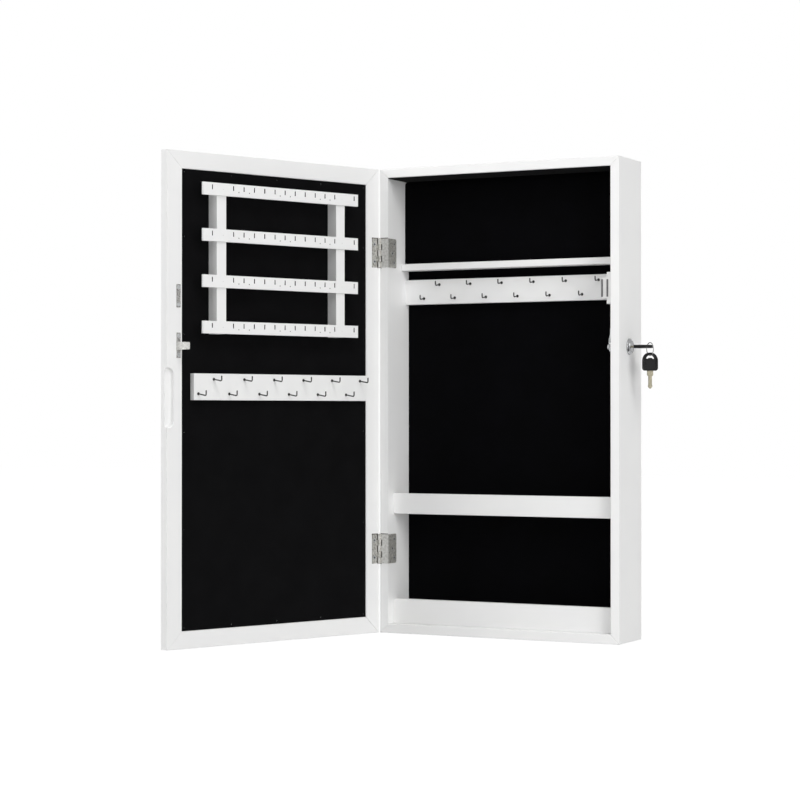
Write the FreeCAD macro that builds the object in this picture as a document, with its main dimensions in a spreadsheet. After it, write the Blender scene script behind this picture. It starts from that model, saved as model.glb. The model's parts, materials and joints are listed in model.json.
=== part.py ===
"""Wall-hung jewelry mirror cabinet, with its door, hooks, earring rack, catch, lock and keys.

Work is laid out on the closed cabinet: X runs from the left outer side to the right, Y from the
front edge of the carcass back to the wall and Z up from the bottom.  FRAME_CARCASS then moves the
origin to the wall plane, half way between the two hanging keyholes, and FRAME_DOOR also swings the
door open about its hinge pins.
"""
import FreeCAD, Part
import math
import os
import re

import Sketcher

Vector = FreeCAD.Vector
Placement = FreeCAD.Placement
Rotation = FreeCAD.Rotation

doc = FreeCAD.newDocument("jewelry_mirror_cabinet")
dims = doc.addObject("Spreadsheet::Sheet", "Dims")

# name, millimetres (or degrees), what it measures
DIMENSIONS = [
    ("cabinet_width", 370, "carcass and door, left to right"),
    ("cabinet_height", 670, "carcass and door, bottom to top"),
    ("inner_deep", 65.4, "front edge of the carcass to the face of the black lining"),
    ("panel_thick", 13, "side, top and bottom panels"),
    ("back_board_thick", 3, "board let into grooves near the back"),
    ("lining_thick", 1, "black velvet on card"),
    ("lining_setback", 0.8, "lining under the top panel, behind the carcass front"),
    ("hanging_rail_thick", 14.6, "rails between the back board and the wall"),
    ("hanging_rail_tall", 40, "upper rail, which carries the keyhole plates"),
    ("lower_rail_tall", 30, "lower rail behind the back board"),
    ("groove_deep", 5, "groove for the back board"),
    ("board_gap", 0.2, "play of a loose board in its place"),
    ("shelf_thick", 9.6, "the two inner shelves"),
    ("rail_thick", 9, "front rails of the trays and both hook rails"),
    ("top_room_tall", 122.2, "inside height of the top compartment"),
    ("top_shelf_front", 42.1, "front edge of the top shelf behind the carcass front"),
    ("top_pad_thick", 15.3, "padded board in the top compartment"),
    ("tray_setback", 17.7, "face of the tray rails behind the carcass front"),
    ("mid_tray_share", 0.256, "underside of the middle tray, as a share of the height"),
    ("mid_rail_tall", 29.5, "front rail of the middle tray"),
    ("bottom_rail_tall", 35.3, "front rail of the bottom tray"),
    ("hook_rail_tall", 36, "hook rails of cabinet and door"),
    ("hook_rail_drop", 13.2, "top shelf underside to the top of the cabinet hook rail"),
    ("hook_row_low", 8.5, "lower row of hooks above the rail's lower edge"),
    ("hook_row_rise", 19.8, "upper row of hooks above the lower row"),
    ("cabinet_hook_start", 29.8, "first lower hook from the left end of the cabinet rail"),
    ("cabinet_hook_end", 40.2, "last upper hook from the right end of the cabinet rail"),
    ("hook_wire", 1.8, "wire of the hooks"),
    ("hook_collar", 4.4, "round collar of the hooks"),
    ("hook_collar_deep", 1.5, "collar along the hook"),
    ("hook_root", 7, "threaded root of a hook inside its rail"),
    ("hook_root_wire", 2.2, "threaded root, across"),
    ("hook_bend", 2.2, "bend of the hook wire, to its middle line"),
    ("hook_droop", 8, "fall of the shank, in degrees"),
    ("hook_tip_rise", 4.8, "end of the tip above the hook's root"),
    ("cabinet_hook_reach", 12.5, "hook in the cabinet, rail to tip"),
    ("door_hook_reach", 18, "hook on the door, rail to tip"),
    ("hanger_inset", 45, "keyhole from the outer side of the carcass"),
    ("hanger_wide", 18, "keyhole plate"),
    ("hanger_tall", 37, "keyhole plate"),
    ("hanger_thick", 1.5, "keyhole plate"),
    ("hanger_screw_rise", 14.3, "screw of the keyhole plate from its middle"),
    ("keyhole_drop", 3, "entry of the keyhole below the plate's middle"),
    ("keyhole_r", 4.5, "entry of the keyhole"),
    ("keyslot_wide", 5, "slot of the keyhole"),
    ("keyslot_rise", 9, "entry to the slot's end"),
    ("keyhole_room", 1.5, "room for the wall screw's head around the keyhole"),
    ("screw_r", 1.5, "wood screw, shank radius"),
    ("screw_head_r", 2.8, "wood screw, head radius"),
    ("screw_head_deep", 1.4, "wood screw, head along the screw"),
    ("screw_long", 10.5, "wood screw"),
    ("screw_cross_wide", 0.8, "cross recess in a screw head"),
    ("screw_cross_deep", 0.9, "cross recess in a screw head"),
    ("open_angle", 112, "the door stands this far open, in degrees"),
    ("door_gap", 2, "closed door to the carcass front"),
    ("frame_wide", 24, "door frame, seen from inside"),
    ("ledge_wide", 6.5, "ledge behind the lining, outside the mirror"),
    ("lip_wide", 5.5, "lip in front of the mirror"),
    ("lip_thick", 5, "lip in front of the mirror"),
    ("mirror_thick", 3, "mirror"),
    ("mirror_play", 0.5, "mirror edge to its frame"),
    ("backing_thick", 4, "board behind the mirror"),
    ("door_recess", 1, "lining below the inner face of the door frame"),
    ("pull_z", 297, "lower end of the finger pull"),
    ("pull_tall", 81, "finger pull"),
    ("pull_wide", 10.7, "finger pull on the inner face"),
    ("pull_deep", 6, "finger pull into the door"),
    ("pull_corner_r", 9, "rounded ends of the finger pull"),
    ("pull_cove_r", 3, "hollow at the foot of the finger pull"),
    ("brad_r", 0.6, "brad"),
    ("brad_long", 7, "brad"),
    ("brad_inset", 4.5, "brads from the frame's inner edge"),
    ("brad_pitch_x", 78, "brads along the width, about"),
    ("brad_pitch_z", 131.5, "brads along the height, about"),
    ("rack_margin_hinge", 57.1, "hinge side of the door to the earring bars"),
    ("rack_margin_free", 43.2, "earring bars to the free side of the door"),
    ("rack_top_drop", 42.2, "top of the door to the top earring bar"),
    ("bar_pitch", 62.2, "earring bars"),
    ("bar_tall", 17, "earring bar"),
    ("bar_thick", 3.5, "earring bar"),
    ("post_wide", 15.5, "post of the earring rack"),
    ("post_deep", 19.5, "post of the earring rack, lining to bar"),
    ("post_inset_hinge", 29.4, "bar end to the middle of the post, hinge side"),
    ("post_inset_free", 33.2, "bar end to the middle of the post, free side"),
    ("slot_end", 7.2, "last slot from the end of its bar, hinge side"),
    ("slot_end_free", 15.4, "first slot from the end of its bar, free side"),
    ("slot_wide", 1.5, "earring slot"),
    ("slot_tall", 6.4, "earring slot"),
    ("slot_drop", 2.9, "earring slot below the top of its bar"),
    ("stud_hole_r", 0.7, "hole for an ear stud"),
    ("stud_hole_drop", 10.9, "ear stud hole below the top of its bar"),
    ("door_rail_gap", 53.6, "lowest earring bar to the door hook rail"),
    ("door_rail_margin_hinge", 30.5, "hinge side of the door to its hook rail"),
    ("door_rail_margin_free", 38.5, "door hook rail to the free side of the door"),
    ("door_hook_start", 11.7, "first hook from the hinge end of the door rail"),
    ("door_hook_end", 7, "last hook from the free end of the door rail"),
    ("hinge_inset", 121.3, "middle of a hinge from the end of the cabinet"),
    ("hinge_tall", 42, "hinge leaf"),
    ("pivot_out", 0.4, "hinge pin outside the carcass side"),
    ("knuckle_r", 2.75, "hinge knuckle"),
    ("hinge_pin_r", 1.4, "hinge pin"),
    ("pin_head_r", 2.3, "hinge pin, rounded ends"),
    ("pin_head_tall", 0.8, "hinge pin, rounded ends"),
    ("hinge_play", 0.05, "pin in the door knuckles"),
    ("knuckle_gap", 0.3, "between two knuckles, and around a knuckle"),
    ("leaf_thick", 0.8, "hinge leaf"),
    ("mortise_deep", 0.5, "hinge leaf let into the edge"),
    ("mortise_over", 0.9, "mortise longer than the leaf at its top"),
    ("leaf_wrap", 24.7, "cabinet leaf back along the inner wall"),
    ("door_leaf_wide", 13, "door leaf on the stile"),
    ("leaf_corner_r", 3, "rounded corners of the leaves"),
    ("wrap_screw_y", 18, "outer screws of the cabinet leaf behind the front"),
    ("wrap_screw_mid_y", 12.5, "middle screw of the cabinet leaf behind the front"),
    ("wrap_screw_rise", 13.5, "outer screws of the cabinet leaf from its middle"),
    ("door_screw_x", 8.1, "screws of the door leaf from the hinge side"),
    ("door_screw_rise", 12.5, "screws of the door leaf from its middle"),
    ("catch_z", 489, "middle of the magnetic catch"),
    ("catch_wide", 14, "catch, out from the wall"),
    ("catch_deep", 13.5, "catch, front to back"),
    ("catch_tall", 29, "catch body"),
    ("catch_flange_tall", 44, "catch flange on the wall"),
    ("catch_flange_thick", 5.3, "catch flange on the wall"),
    ("catch_corner_r", 1.2, "rounded corners of the catch"),
    ("catch_front", 0.5, "catch behind the carcass front"),
    ("pole_thick", 2.2, "pole plate"),
    ("pole_tall", 24, "pole plate"),
    ("pole_deep", 10, "pole plate"),
    ("pole_pitch", 7.8, "between the pole plates"),
    ("pole_from_wall", 4.3, "nearer pole plate from the wall"),
    ("strike_gap", 0.5, "pole plate to the strike, door closed"),
    ("magnet_tall", 22, "magnet"),
    ("magnet_deep", 7.5, "magnet"),
    ("strike_inset", 15.1, "strikes from the free side of the door"),
    ("strike_wide", 6.3, "strikes"),
    ("strike_thick", 1, "strikes"),
    ("catch_strike_z", 474.4, "middle of the catch's strike"),
    ("catch_strike_tall", 31.2, "the catch's strike"),
    ("catch_strike_screw", 11.6, "screws of the catch's strike from its middle"),
    ("lock_z", 409, "lock, above the bottom"),
    ("lock_y", 38.4, "lock behind the carcass front"),
    ("barrel_r", 9, "lock barrel through the side panel"),
    ("barrel_reach", 14, "lock barrel inside the side panel"),
    ("flange_r", 11.5, "lock flange"),
    ("flange_thick", 1.2, "lock flange, at its rim"),
    ("dome_tall", 4, "lock flange, at its face"),
    ("dome_face_r", 8.4, "lock flange, at its face"),
    ("hole_play", 0.1, "barrel in the side panel"),
    ("nut_thick", 3, "lock nut"),
    ("nut_r", 12.6, "lock nut, over its corners"),
    ("plug_r", 5.5, "lock plug"),
    ("plug_head_r", 6.4, "lock plug, at its face"),
    ("plug_head_deep", 1.2, "lock plug, at its face"),
    ("plug_play", 0.05, "plug in the barrel"),
    ("plug_proud", 0.3, "plug behind the end of the barrel"),
    ("keyway_wide", 6.8, "keyway"),
    ("keyway_tall", 2.3, "keyway"),
    ("keyway_deep", 21, "keyway"),
    ("mouth_deep", 2.6, "mouth of the keyway, which takes the blade's shoulder"),
    ("mouth_play", 0.3, "shoulder of the blade in the mouth of the keyway"),
    ("cam_thick", 1.6, "lock cam"),
    ("cam_hub_r", 5, "lock cam around its screw"),
    ("cam_long", 26, "lock cam"),
    ("cam_wide", 5, "arm of the lock cam"),
    ("cam_offset", 4.5, "front side of the cam's arm before its axis"),
    ("cam_crank", 2, "the arm steps out towards the wall by this"),
    ("cam_crank_start", 9.6, "the arm bends here"),
    ("cam_crank_end", 17, "the arm is straight again here"),
    ("cam_finger_wide", 5.5, "finger at the end of the cam, bent out towards the wall"),
    ("cam_finger_play", 0.6, "finger of the cam to the wall of the tongue"),
    ("cam_screw_r", 2, "cam screw"),
    ("cam_screw_long", 7.5, "cam screw in the plug"),
    ("cam_screw_head_r", 3.6, "cam screw head"),
    ("cam_screw_head_tall", 2.4, "cam screw head"),
    ("lock_strike_z", 408, "middle of the lock strike's plate"),
    ("lock_strike_tall", 34, "lock strike's plate"),
    ("lock_strike_screw", 12.7, "screws of the lock strike from its middle"),
    ("tongue_reach", 22.4, "tongue of the lock strike, off the door"),
    ("tongue_tall", 10, "tongue of the lock strike"),
    ("tongue_under_cam", 0.6, "floor of the tongue's notch below the turned cam"),
    ("tongue_end", 2.2, "solid end of the tongue"),
    ("tongue_wall", 1.2, "wall of the tongue beside its notch"),
    ("tongue_root", 8, "solid root of the tongue, off the door"),
    ("tongue_floor", 1.8, "floor of the tongue's notch"),
    ("tongue_corner_r", 1.8, "rounded end of the tongue"),
    ("tongue_field_deep", 0.3, "sunk field on the side of the tongue"),
    ("tongue_field_edge", 3, "rim around the sunk field"),
    ("bow_out", 9.3, "key bow from the side panel"),
    ("bow_wide", 23, "key bow"),
    ("bow_long", 25, "key bow"),
    ("bow_thick", 4.2, "key bow"),
    ("window_in_r", 4.2, "inner side of the bow's crescent window"),
    ("window_out_r", 8.3, "outer side of the bow's crescent window"),
    ("window_angle", 130, "crescent window, in degrees"),
    ("blade_thick", 1.9, "key blade"),
    ("blade_root", 6, "key blade inside its bow"),
    ("blade_long", 24.6, "key blade outside its bow"),
    ("shoulder_wide", 9, "shoulder of the blade"),
    ("shoulder_long", 6, "shoulder of the blade"),
    ("shank_wide", 5, "shank of the blade"),
    ("tip_wide", 6.2, "tip of the blade"),
    ("tip_long", 5.6, "tip of the blade"),
    ("point_wide", 1.6, "very end of the blade"),
    ("ring_r", 8.9, "key ring, to the middle of its wire"),
    ("ring_wire_r", 0.6, "key ring wire"),
    ("ring_yaw", 38, "key ring, turned to the front, in degrees"),
    ("ring_gap", 0.2, "key ring to the bow"),
    ("spare_gap", 0.35, "spare key to the ring"),
]

NAMES = {name for name, _, _ in DIMENSIONS}

for row, (name, number, meaning) in enumerate(DIMENSIONS, start=1):
    dims.set(f"A{row}", name)
    dims.set(f"B{row}", str(number))
    dims.setAlias(f"B{row}", name)
    dims.set(f"C{row}", meaning)
doc.recompute()


def mm(formula):
    """Value of a formula written in the names of the sheet."""
    return float(dims.evalExpression(formula))


def bound(formula):
    """The same formula as an expression that points at the cells of the sheet."""
    return re.sub(r"[a-z_]+", lambda word: "Dims." + word[0] if word[0] in NAMES else word[0], formula)


def spot(x, y, z):
    """Point of the closed cabinet, each coordinate a formula."""
    return Vector(mm(x), mm(y), mm(z))


def at(x, y, z, rotation=Rotation()):
    """Placement in the closed cabinet, each coordinate a formula."""
    return Placement(spot(x, y, z), rotation)


def along(x, y, z):
    """Rotation that lays a shape's own Z along a direction."""
    return Rotation(Vector(0, 0, 1), Vector(x, y, z))


# sizes that follow from the ones above
CARCASS_DEEP = "(inner_deep + lining_thick + back_board_thick + hanging_rail_thick)"
DOOR_THICK = "(lip_thick + mirror_thick + backing_thick + lining_thick + door_recess)"
BOARD_FRONT = "(inner_deep + lining_thick)"
RAIL_FRONT = "(inner_deep + lining_thick + back_board_thick)"
INNER_RIGHT = "(cabinet_width - panel_thick)"
INNER_TOP = "(cabinet_height - panel_thick)"
INNER_WIDE = "(cabinet_width - 2 * panel_thick)"
SHELF_TOP = f"({INNER_TOP} - top_room_tall)"
SHELF_UNDER = f"({SHELF_TOP} - shelf_thick)"
HANGER_Z = f"({INNER_TOP} - hanging_rail_tall / 2)"
HANG_Z = f"({HANGER_Z} - keyhole_drop)"
DOOR_FACE = "(0 - door_gap)"
LINING_FACE = "(0 - door_gap - door_recess)"
PIVOT_X = "(0 - pivot_out)"
PIVOT_Y = "(0 - door_gap / 2)"
HINGE_Z = ["hinge_inset", "(cabinet_height - hinge_inset)"]
MEMBER_WIDE = "(frame_wide + ledge_wide + lip_wide)"
BAR_LONG = "(cabinet_width - rack_margin_hinge - rack_margin_free)"
BAR_BACK = f"({LINING_FACE} + post_deep)"
LOW_BAR_Z = "(cabinet_height - rack_top_drop - 3 * bar_pitch - bar_tall)"
DOOR_RAIL_Z = f"({LOW_BAR_Z} - door_rail_gap - hook_rail_tall)"
DOOR_RAIL_LONG = "(cabinet_width - door_rail_margin_hinge - door_rail_margin_free)"
CABINET_RAIL_Z = f"({SHELF_UNDER} - hook_rail_drop - hook_rail_tall)"
BARREL_END = "(0 - panel_thick - barrel_reach)"
CAM_FRONT = f"({BARREL_END} - plug_proud)"
CAM_BACK = f"({BARREL_END} - plug_proud - cam_thick)"
ARC_X = "(bow_out + bow_long - bow_wide / 2)"
SLOT_PITCH = f"(({BAR_LONG} - slot_end - slot_end_free) / 14)"
MID_TRAY_Z = "(mid_tray_share * cabinet_height)"
STRIKE_X = "(cabinet_width - strike_inset - strike_wide)"
CAM_ARM_OUT = f"({CAM_FRONT} + cam_crank)"
FINGER_OUT = "(0 - strike_inset - tongue_wall - cam_finger_play)"
TONGUE_FOOT = "(lock_z - cam_offset - tongue_under_cam - tongue_floor)"
DOOR_FRONT = f"({DOOR_FACE} - {DOOR_THICK})"

FRONT_VIEW = Rotation(Vector(1, 0, 0), 90)
TO_BACK = along(0, 1, 0)
TO_FRONT = along(0, -1, 0)
TO_RIGHT = along(1, 0, 0)
TO_LEFT = along(-1, 0, 0)

FRAME_CARCASS = Placement(-spot("cabinet_width / 2", CARCASS_DEEP, HANG_Z), Rotation())
PIVOT = at(PIVOT_X, PIVOT_Y, "0")
SWING = Placement(Vector(), Rotation(Vector(0, 0, 1), -mm("open_angle")))
FRAME_DOOR = FRAME_CARCASS * PIVOT * SWING * PIVOT.inverse()

KINDS = {
    "box": ("Box", ("Length", "Width", "Height")),
    "cylinder": ("Cylinder", ("Radius", "Height", "Angle")),
    "cone": ("Cone", ("Radius1", "Radius2", "Height")),
    "torus": ("Torus", ("Radius1", "Radius2")),
    "prism": ("Prism", ("Circumradius", "Height")),
}

nodes = []


class Piece:
    """One sub-part as a body: it is built where it lies on the closed cabinet."""

    def __init__(self, label, home=Placement(), frame=FRAME_CARCASS, hand_over=True):
        self.body = doc.addObject("PartDesign::Body", label)
        self.body.Label = label
        self.body.Placement = frame * home
        self.home = home
        if hand_over:
            nodes.append(self.body)

    def add(self, kind, sizes, place=Placement(), cut=False):
        """A primitive, in the closed cabinet's axes; cut takes it away instead of adding it."""
        word, properties = KINDS[kind]
        feature = self.body.newObject(
            f"PartDesign::{'Subtractive' if cut else 'Additive'}{word}", f"{kind}_{'cut' if cut else 'add'}"
        )
        for name, formula in zip(properties, sizes):
            feature.setExpression(name, bound(formula))
        feature.Placement = self.home.inverse() * place
        return feature

    def cut(self, kind, sizes, place=Placement()):
        """Takes a primitive away."""
        return self.add(kind, sizes, place, cut=True)

    def plane(self, role):
        """An origin plane or axis of the body."""
        return next(item for item in self.body.Origin.OriginFeatures if item.Role == role)

    def outline(self, points, name="outline"):
        """Sketch of straight sides on the body's XY plane; each corner is held by two formulas."""
        sketch = self.body.newObject("Sketcher::SketchObject", name)
        sketch.AttachmentSupport = (self.plane("XY_Plane"), [""])
        sketch.MapMode = "FlatFace"
        corners = [Vector(mm(x), mm(y), 0) for x, y in points]
        for start, end in zip(corners, corners[1:] + corners[:1]):
            sketch.addGeometry(Part.LineSegment(start, end))
        for index in range(len(corners)):
            following = (index + 1) % len(corners)
            sketch.addConstraint(Sketcher.Constraint("Coincident", index, 2, following, 1))
        for index, corner in enumerate(points):
            for axis, formula, zero_axis in (("X", corner[0], -2), ("Y", corner[1], -1)):
                if formula == "0":
                    sketch.addConstraint(Sketcher.Constraint("PointOnObject", index, 1, zero_axis))
                else:
                    rule = Sketcher.Constraint(f"Distance{axis}", -1, 1, index, 1, mm(formula))
                    number = sketch.addConstraint(rule)
                    sketch.setExpression(f"Constraints[{number}]", bound(formula))
        return sketch

    def pad(self, points, thick, midplane=False):
        """A plate of straight outline, from the body's XY plane along its Z."""
        feature = self.body.newObject("PartDesign::Pad", "pad")
        feature.Profile = self.outline(points)
        feature.setExpression("Length", bound(thick))
        if midplane:
            feature.SideType = "Symmetric"
        return feature

    def turn(self, points):
        """A turned shape about the body's X axis, its half outline given as (x, radius)."""
        feature = self.body.newObject("PartDesign::Revolution", "turned")
        feature.Profile = self.outline(points, "half_outline")
        feature.ReferenceAxis = (self.plane("X_Axis"), [""])
        feature.Angle = 360
        return feature

    def repeat(self, original, axis, pitch, count):
        """The same feature again and again along an axis of the body."""
        feature = self.body.newObject("PartDesign::LinearPattern", "row")
        feature.Originals = [original]
        feature.Direction = (self.plane(axis), [""])
        feature.Mode = "Spacing"
        feature.setExpression("Offset", bound(pitch))
        feature.Occurrences = count
        self.body.Tip = feature
        return feature

    def round_edges(self, radius, chosen):
        """Rounds the edges for which chosen(edge) is true, in the body's own axes."""
        doc.recompute()
        base = self.body.Tip
        edges = [f"Edge{n}" for n, edge in enumerate(base.Shape.Edges, start=1) if chosen(edge)]
        feature = self.body.newObject("PartDesign::Fillet", "rounding")
        feature.Base = (base, edges)
        feature.setExpression("Radius", bound(radius))
        return feature

    def seat(self, place):
        """The seat of a wood screw whose head lies at place and which drives along its Z."""
        self.cut("cone", ("screw_head_r", "screw_r", "screw_head_deep"), place)
        self.cut("cylinder", ("screw_r", "screw_long"), place)


def corner_edge(axis, x=None, y=None, z=None):
    """A test for straight edges along an axis through the given coordinates of the body."""
    wanted = [(index, value) for index, value in enumerate((x, y, z)) if value is not None]

    def test(edge):
        if edge.Curve.TypeId != "Part::GeomLine":
            return False
        direction = edge.Curve.Direction
        if abs(abs(direction[axis]) - 1) > 1e-6:
            return False
        middle = edge.CenterOfMass
        return all(any(abs(middle[index] - one) < 1e-4 for one in value) for index, value in wanted)

    return test


def group(label, master, places, frame=FRAME_CARCASS):
    """One node of many alike solids, copied from a master body to their places."""
    doc.recompute()
    copies = []
    for place in places:
        copy = master.body.Shape.copy()
        copy.Placement = place
        copies.append(copy)
    feature = doc.addObject("Part::Feature", label)
    feature.Label = label
    feature.Shape = Part.makeCompound(copies)
    feature.Placement = frame
    nodes.append(feature)
    return feature


# carcass -------------------------------------------------------------------------------------

wrap_face = "(panel_thick + leaf_thick)"


def wrap_screw_places():
    """Screws that hold the cabinet leaves to the inner face of the left side."""
    places = []
    for middle in HINGE_Z:
        for y, rise in (("wrap_screw_y", 1), ("wrap_screw_mid_y", 0), ("wrap_screw_y", -1)):
            places.append(at(wrap_face, y, f"{middle} + {rise} * wrap_screw_rise", TO_LEFT))
    return places


def door_leaf_screw_places():
    """Screws that hold the door leaves to the hinge stile."""
    face = f"({DOOR_FACE} + leaf_thick - mortise_deep)"
    return [
        at("door_screw_x", face, f"{middle} + {side} * door_screw_rise", TO_FRONT)
        for middle in HINGE_Z
        for side in (1, -1)
    ]


def catch_screw_places():
    """Screws of the magnetic catch."""
    rise = "(catch_tall / 4 + catch_flange_tall / 4)"
    depth = "(catch_front + catch_deep / 2)"
    face = f"({INNER_RIGHT} - catch_flange_thick)"
    return [at(face, depth, f"catch_z + {side} * {rise}", TO_RIGHT) for side in (1, -1)]


def strike_screw_places():
    """Screws of the two strikes on the free stile."""
    middle = f"({STRIKE_X} + strike_wide / 2)"
    face = f"({DOOR_FACE} + strike_thick)"
    heights = [("catch_strike_z", "catch_strike_screw"), ("lock_strike_z", "lock_strike_screw")]
    return [
        at(middle, face, f"{height} + {side} * {rise}", TO_FRONT)
        for height, rise in heights
        for side in (1, -1)
    ]


def hanger_middles():
    """X of the two keyhole plates."""
    return ["hanger_inset", "(cabinet_width - hanger_inset)"]


def hanger_screw_places():
    """Screws of the keyhole plates, driven from behind."""
    return [
        at(x, CARCASS_DEEP, f"{HANGER_Z} + {side} * hanger_screw_rise", TO_FRONT)
        for x in hanger_middles()
        for side in (1, -1)
    ]


def groove_upright(piece, x):
    """Groove for the back board in a side panel."""
    piece.cut(
        "box",
        ("groove_deep", "back_board_thick", f"{INNER_TOP} - panel_thick + 2 * groove_deep"),
        at(x, BOARD_FRONT, "panel_thick - groove_deep"),
    )


def groove_level(piece, z):
    """Groove for the back board in the top or bottom panel."""
    piece.cut(
        "box",
        ("cabinet_width - 2 * panel_thick + 2 * groove_deep", "back_board_thick", "groove_deep"),
        at("panel_thick - groove_deep", BOARD_FRONT, z),
    )


def knuckle_relief(piece):
    """Room for the hinge knuckles in an edge."""
    for middle in HINGE_Z:
        piece.cut(
            "cylinder",
            ("knuckle_r + knuckle_gap", "hinge_tall + 2 * pin_head_tall + 2 * knuckle_gap", "360"),
            at(PIVOT_X, PIVOT_Y, f"{middle} - hinge_tall / 2 - pin_head_tall - knuckle_gap"),
        )


left = Piece("side_panel_left", at("0", CARCASS_DEEP, "0", FRONT_VIEW))
left.pad(
    [("0", "0"), ("panel_thick", "panel_thick"), ("panel_thick", INNER_TOP), ("0", "cabinet_height")],
    CARCASS_DEEP,
)
groove_upright(left, "panel_thick - groove_deep")
for hinge_middle in HINGE_Z:
    left.cut(
        "box",
        ("panel_thick", "mortise_deep", "hinge_tall + mortise_over"),
        at("0", "0", f"{hinge_middle} - hinge_tall / 2"),
    )
knuckle_relief(left)
for screw in wrap_screw_places():
    left.seat(screw)

right = Piece("side_panel_right", at(INNER_RIGHT, CARCASS_DEEP, "0", FRONT_VIEW))
right.pad(
    [("0", "panel_thick"), ("panel_thick", "0"), ("panel_thick", "cabinet_height"), ("0", INNER_TOP)],
    CARCASS_DEEP,
)
groove_upright(right, INNER_RIGHT)
right.cut(
    "cylinder",
    ("barrel_r + hole_play", "panel_thick", "360"),
    at(INNER_RIGHT, "lock_y", "lock_z", TO_RIGHT),
)
for screw in catch_screw_places():
    right.seat(screw)

top = Piece("top_panel", at("0", CARCASS_DEEP, INNER_TOP, FRONT_VIEW))
top.pad(
    [("panel_thick", "0"), (INNER_RIGHT, "0"), ("cabinet_width", "panel_thick"), ("0", "panel_thick")],
    CARCASS_DEEP,
)
groove_level(top, INNER_TOP)

bottom = Piece("bottom_panel", at("0", CARCASS_DEEP, "0", FRONT_VIEW))
bottom.pad(
    [("0", "0"), ("cabinet_width", "0"), (INNER_RIGHT, "panel_thick"), ("panel_thick", "panel_thick")],
    CARCASS_DEEP,
)
groove_level(bottom, "panel_thick - groove_deep")


def board(label, corner, sizes, frame=FRAME_CARCASS):
    """A plain rectangular board from its front lower left corner."""
    piece = Piece(label, at(*corner), frame)
    piece.add("box", sizes, at(*corner))
    return piece


board_edge = "(panel_thick - groove_deep + board_gap)"
board("back_board", (board_edge, BOARD_FRONT, board_edge),
      (f"cabinet_width - 2 * {board_edge}", "back_board_thick", f"cabinet_height - 2 * {board_edge}"))
lining_edge = "(panel_thick + board_gap)"
lining_wide = f"(cabinet_width - 2 * {lining_edge})"
lining = board("back_lining", (lining_edge, "inner_deep", lining_edge),
               (lining_wide, "lining_thick", f"cabinet_height - 2 * {lining_edge}"))
lining.add(
    "box",
    (lining_wide, "inner_deep - lining_setback", "lining_thick"),
    at(lining_edge, "lining_setback", f"cabinet_height - {lining_edge} - lining_thick"),
)
board("top_pad", (lining_edge, "inner_deep - top_pad_thick", SHELF_TOP),
      (lining_wide, "top_pad_thick", "top_room_tall - 2 * board_gap - lining_thick"))
board("top_shelf", ("panel_thick", "top_shelf_front", SHELF_UNDER),
      (INNER_WIDE, "inner_deep - top_shelf_front", "shelf_thick"))
board("middle_shelf", ("panel_thick", "tray_setback + rail_thick", MID_TRAY_Z),
      (INNER_WIDE, "inner_deep - tray_setback - rail_thick", "shelf_thick"))
board("middle_rail", ("panel_thick", "tray_setback", MID_TRAY_Z),
      (INNER_WIDE, "rail_thick", "mid_rail_tall"))
board("bottom_rail", ("panel_thick", "tray_setback", "panel_thick"),
      (INNER_WIDE, "rail_thick", "bottom_rail_tall"))
board("lower_hanging_rail", ("panel_thick", RAIL_FRONT, "panel_thick"),
      (INNER_WIDE, "hanging_rail_thick", "lower_rail_tall"))

hanging_rail = board("upper_hanging_rail", ("panel_thick", RAIL_FRONT, f"{INNER_TOP} - hanging_rail_tall"),
                     (INNER_WIDE, "hanging_rail_thick", "hanging_rail_tall"))
hanger_foot = f"{HANGER_Z} - hanger_tall / 2"
for hanger_x in hanger_middles():
    hanging_rail.cut(
        "box",
        ("hanger_wide", "hanger_thick", "hanger_tall"),
        at(f"{hanger_x} - hanger_wide / 2", f"{CARCASS_DEEP} - hanger_thick", hanger_foot),
    )
    for rise in ("0", "keyslot_rise"):
        hanging_rail.cut(
            "cylinder",
            ("keyhole_r + keyhole_room", "hanging_rail_thick", "360"),
            at(hanger_x, RAIL_FRONT, f"{HANG_Z} + {rise}", TO_BACK),
        )
    hanging_rail.cut(
        "box",
        ("2 * keyhole_r + 2 * keyhole_room", "hanging_rail_thick", "keyslot_rise"),
        at(f"{hanger_x} - keyhole_r - keyhole_room", RAIL_FRONT, HANG_Z),
    )
for screw in hanger_screw_places():
    hanging_rail.seat(screw)

for side_name, hanger_x in zip(("left", "right"), hanger_middles()):
    back_face = f"({CARCASS_DEEP} - hanger_thick)"
    plate_home = at(f"{hanger_x} - hanger_wide / 2", back_face, hanger_foot)
    plate = Piece(f"hanger_plate_{side_name}", plate_home)
    plate.add("box", ("hanger_wide", "hanger_thick", "hanger_tall"), plate_home)
    plate.cut("cylinder", ("keyhole_r", "hanger_thick", "360"), at(hanger_x, back_face, HANG_Z, TO_BACK))
    plate.cut(
        "box",
        ("keyslot_wide", "hanger_thick", "keyslot_rise"),
        at(f"{hanger_x} - keyslot_wide / 2", back_face, HANG_Z),
    )
    plate.cut(
        "cylinder",
        ("keyslot_wide / 2", "hanger_thick", "360"),
        at(hanger_x, back_face, f"{HANG_Z} + keyslot_rise", TO_BACK),
    )
    for screw in hanger_screw_places():
        if abs(screw.Base.x - mm(hanger_x)) < 1:
            plate.seat(screw)

# fasteners and hooks -------------------------------------------------------------------------

screw_form = Piece("wood_screw_form", frame=Placement(), hand_over=False)
screw_form.add("cone", ("screw_head_r", "screw_r", "screw_head_deep"))
screw_form.add("cylinder", ("screw_r", "screw_long", "360"))
for quarter in (0, 90):
    cross = Placement(Vector(), Rotation(Vector(0, 0, 1), quarter))
    corner = Placement(spot("0 - screw_head_r * 0.55", "0 - screw_cross_wide / 2", "0"), Rotation())
    screw_form.cut("box", ("screw_head_r * 1.1", "screw_cross_wide", "screw_cross_deep"), cross * corner)

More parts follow.
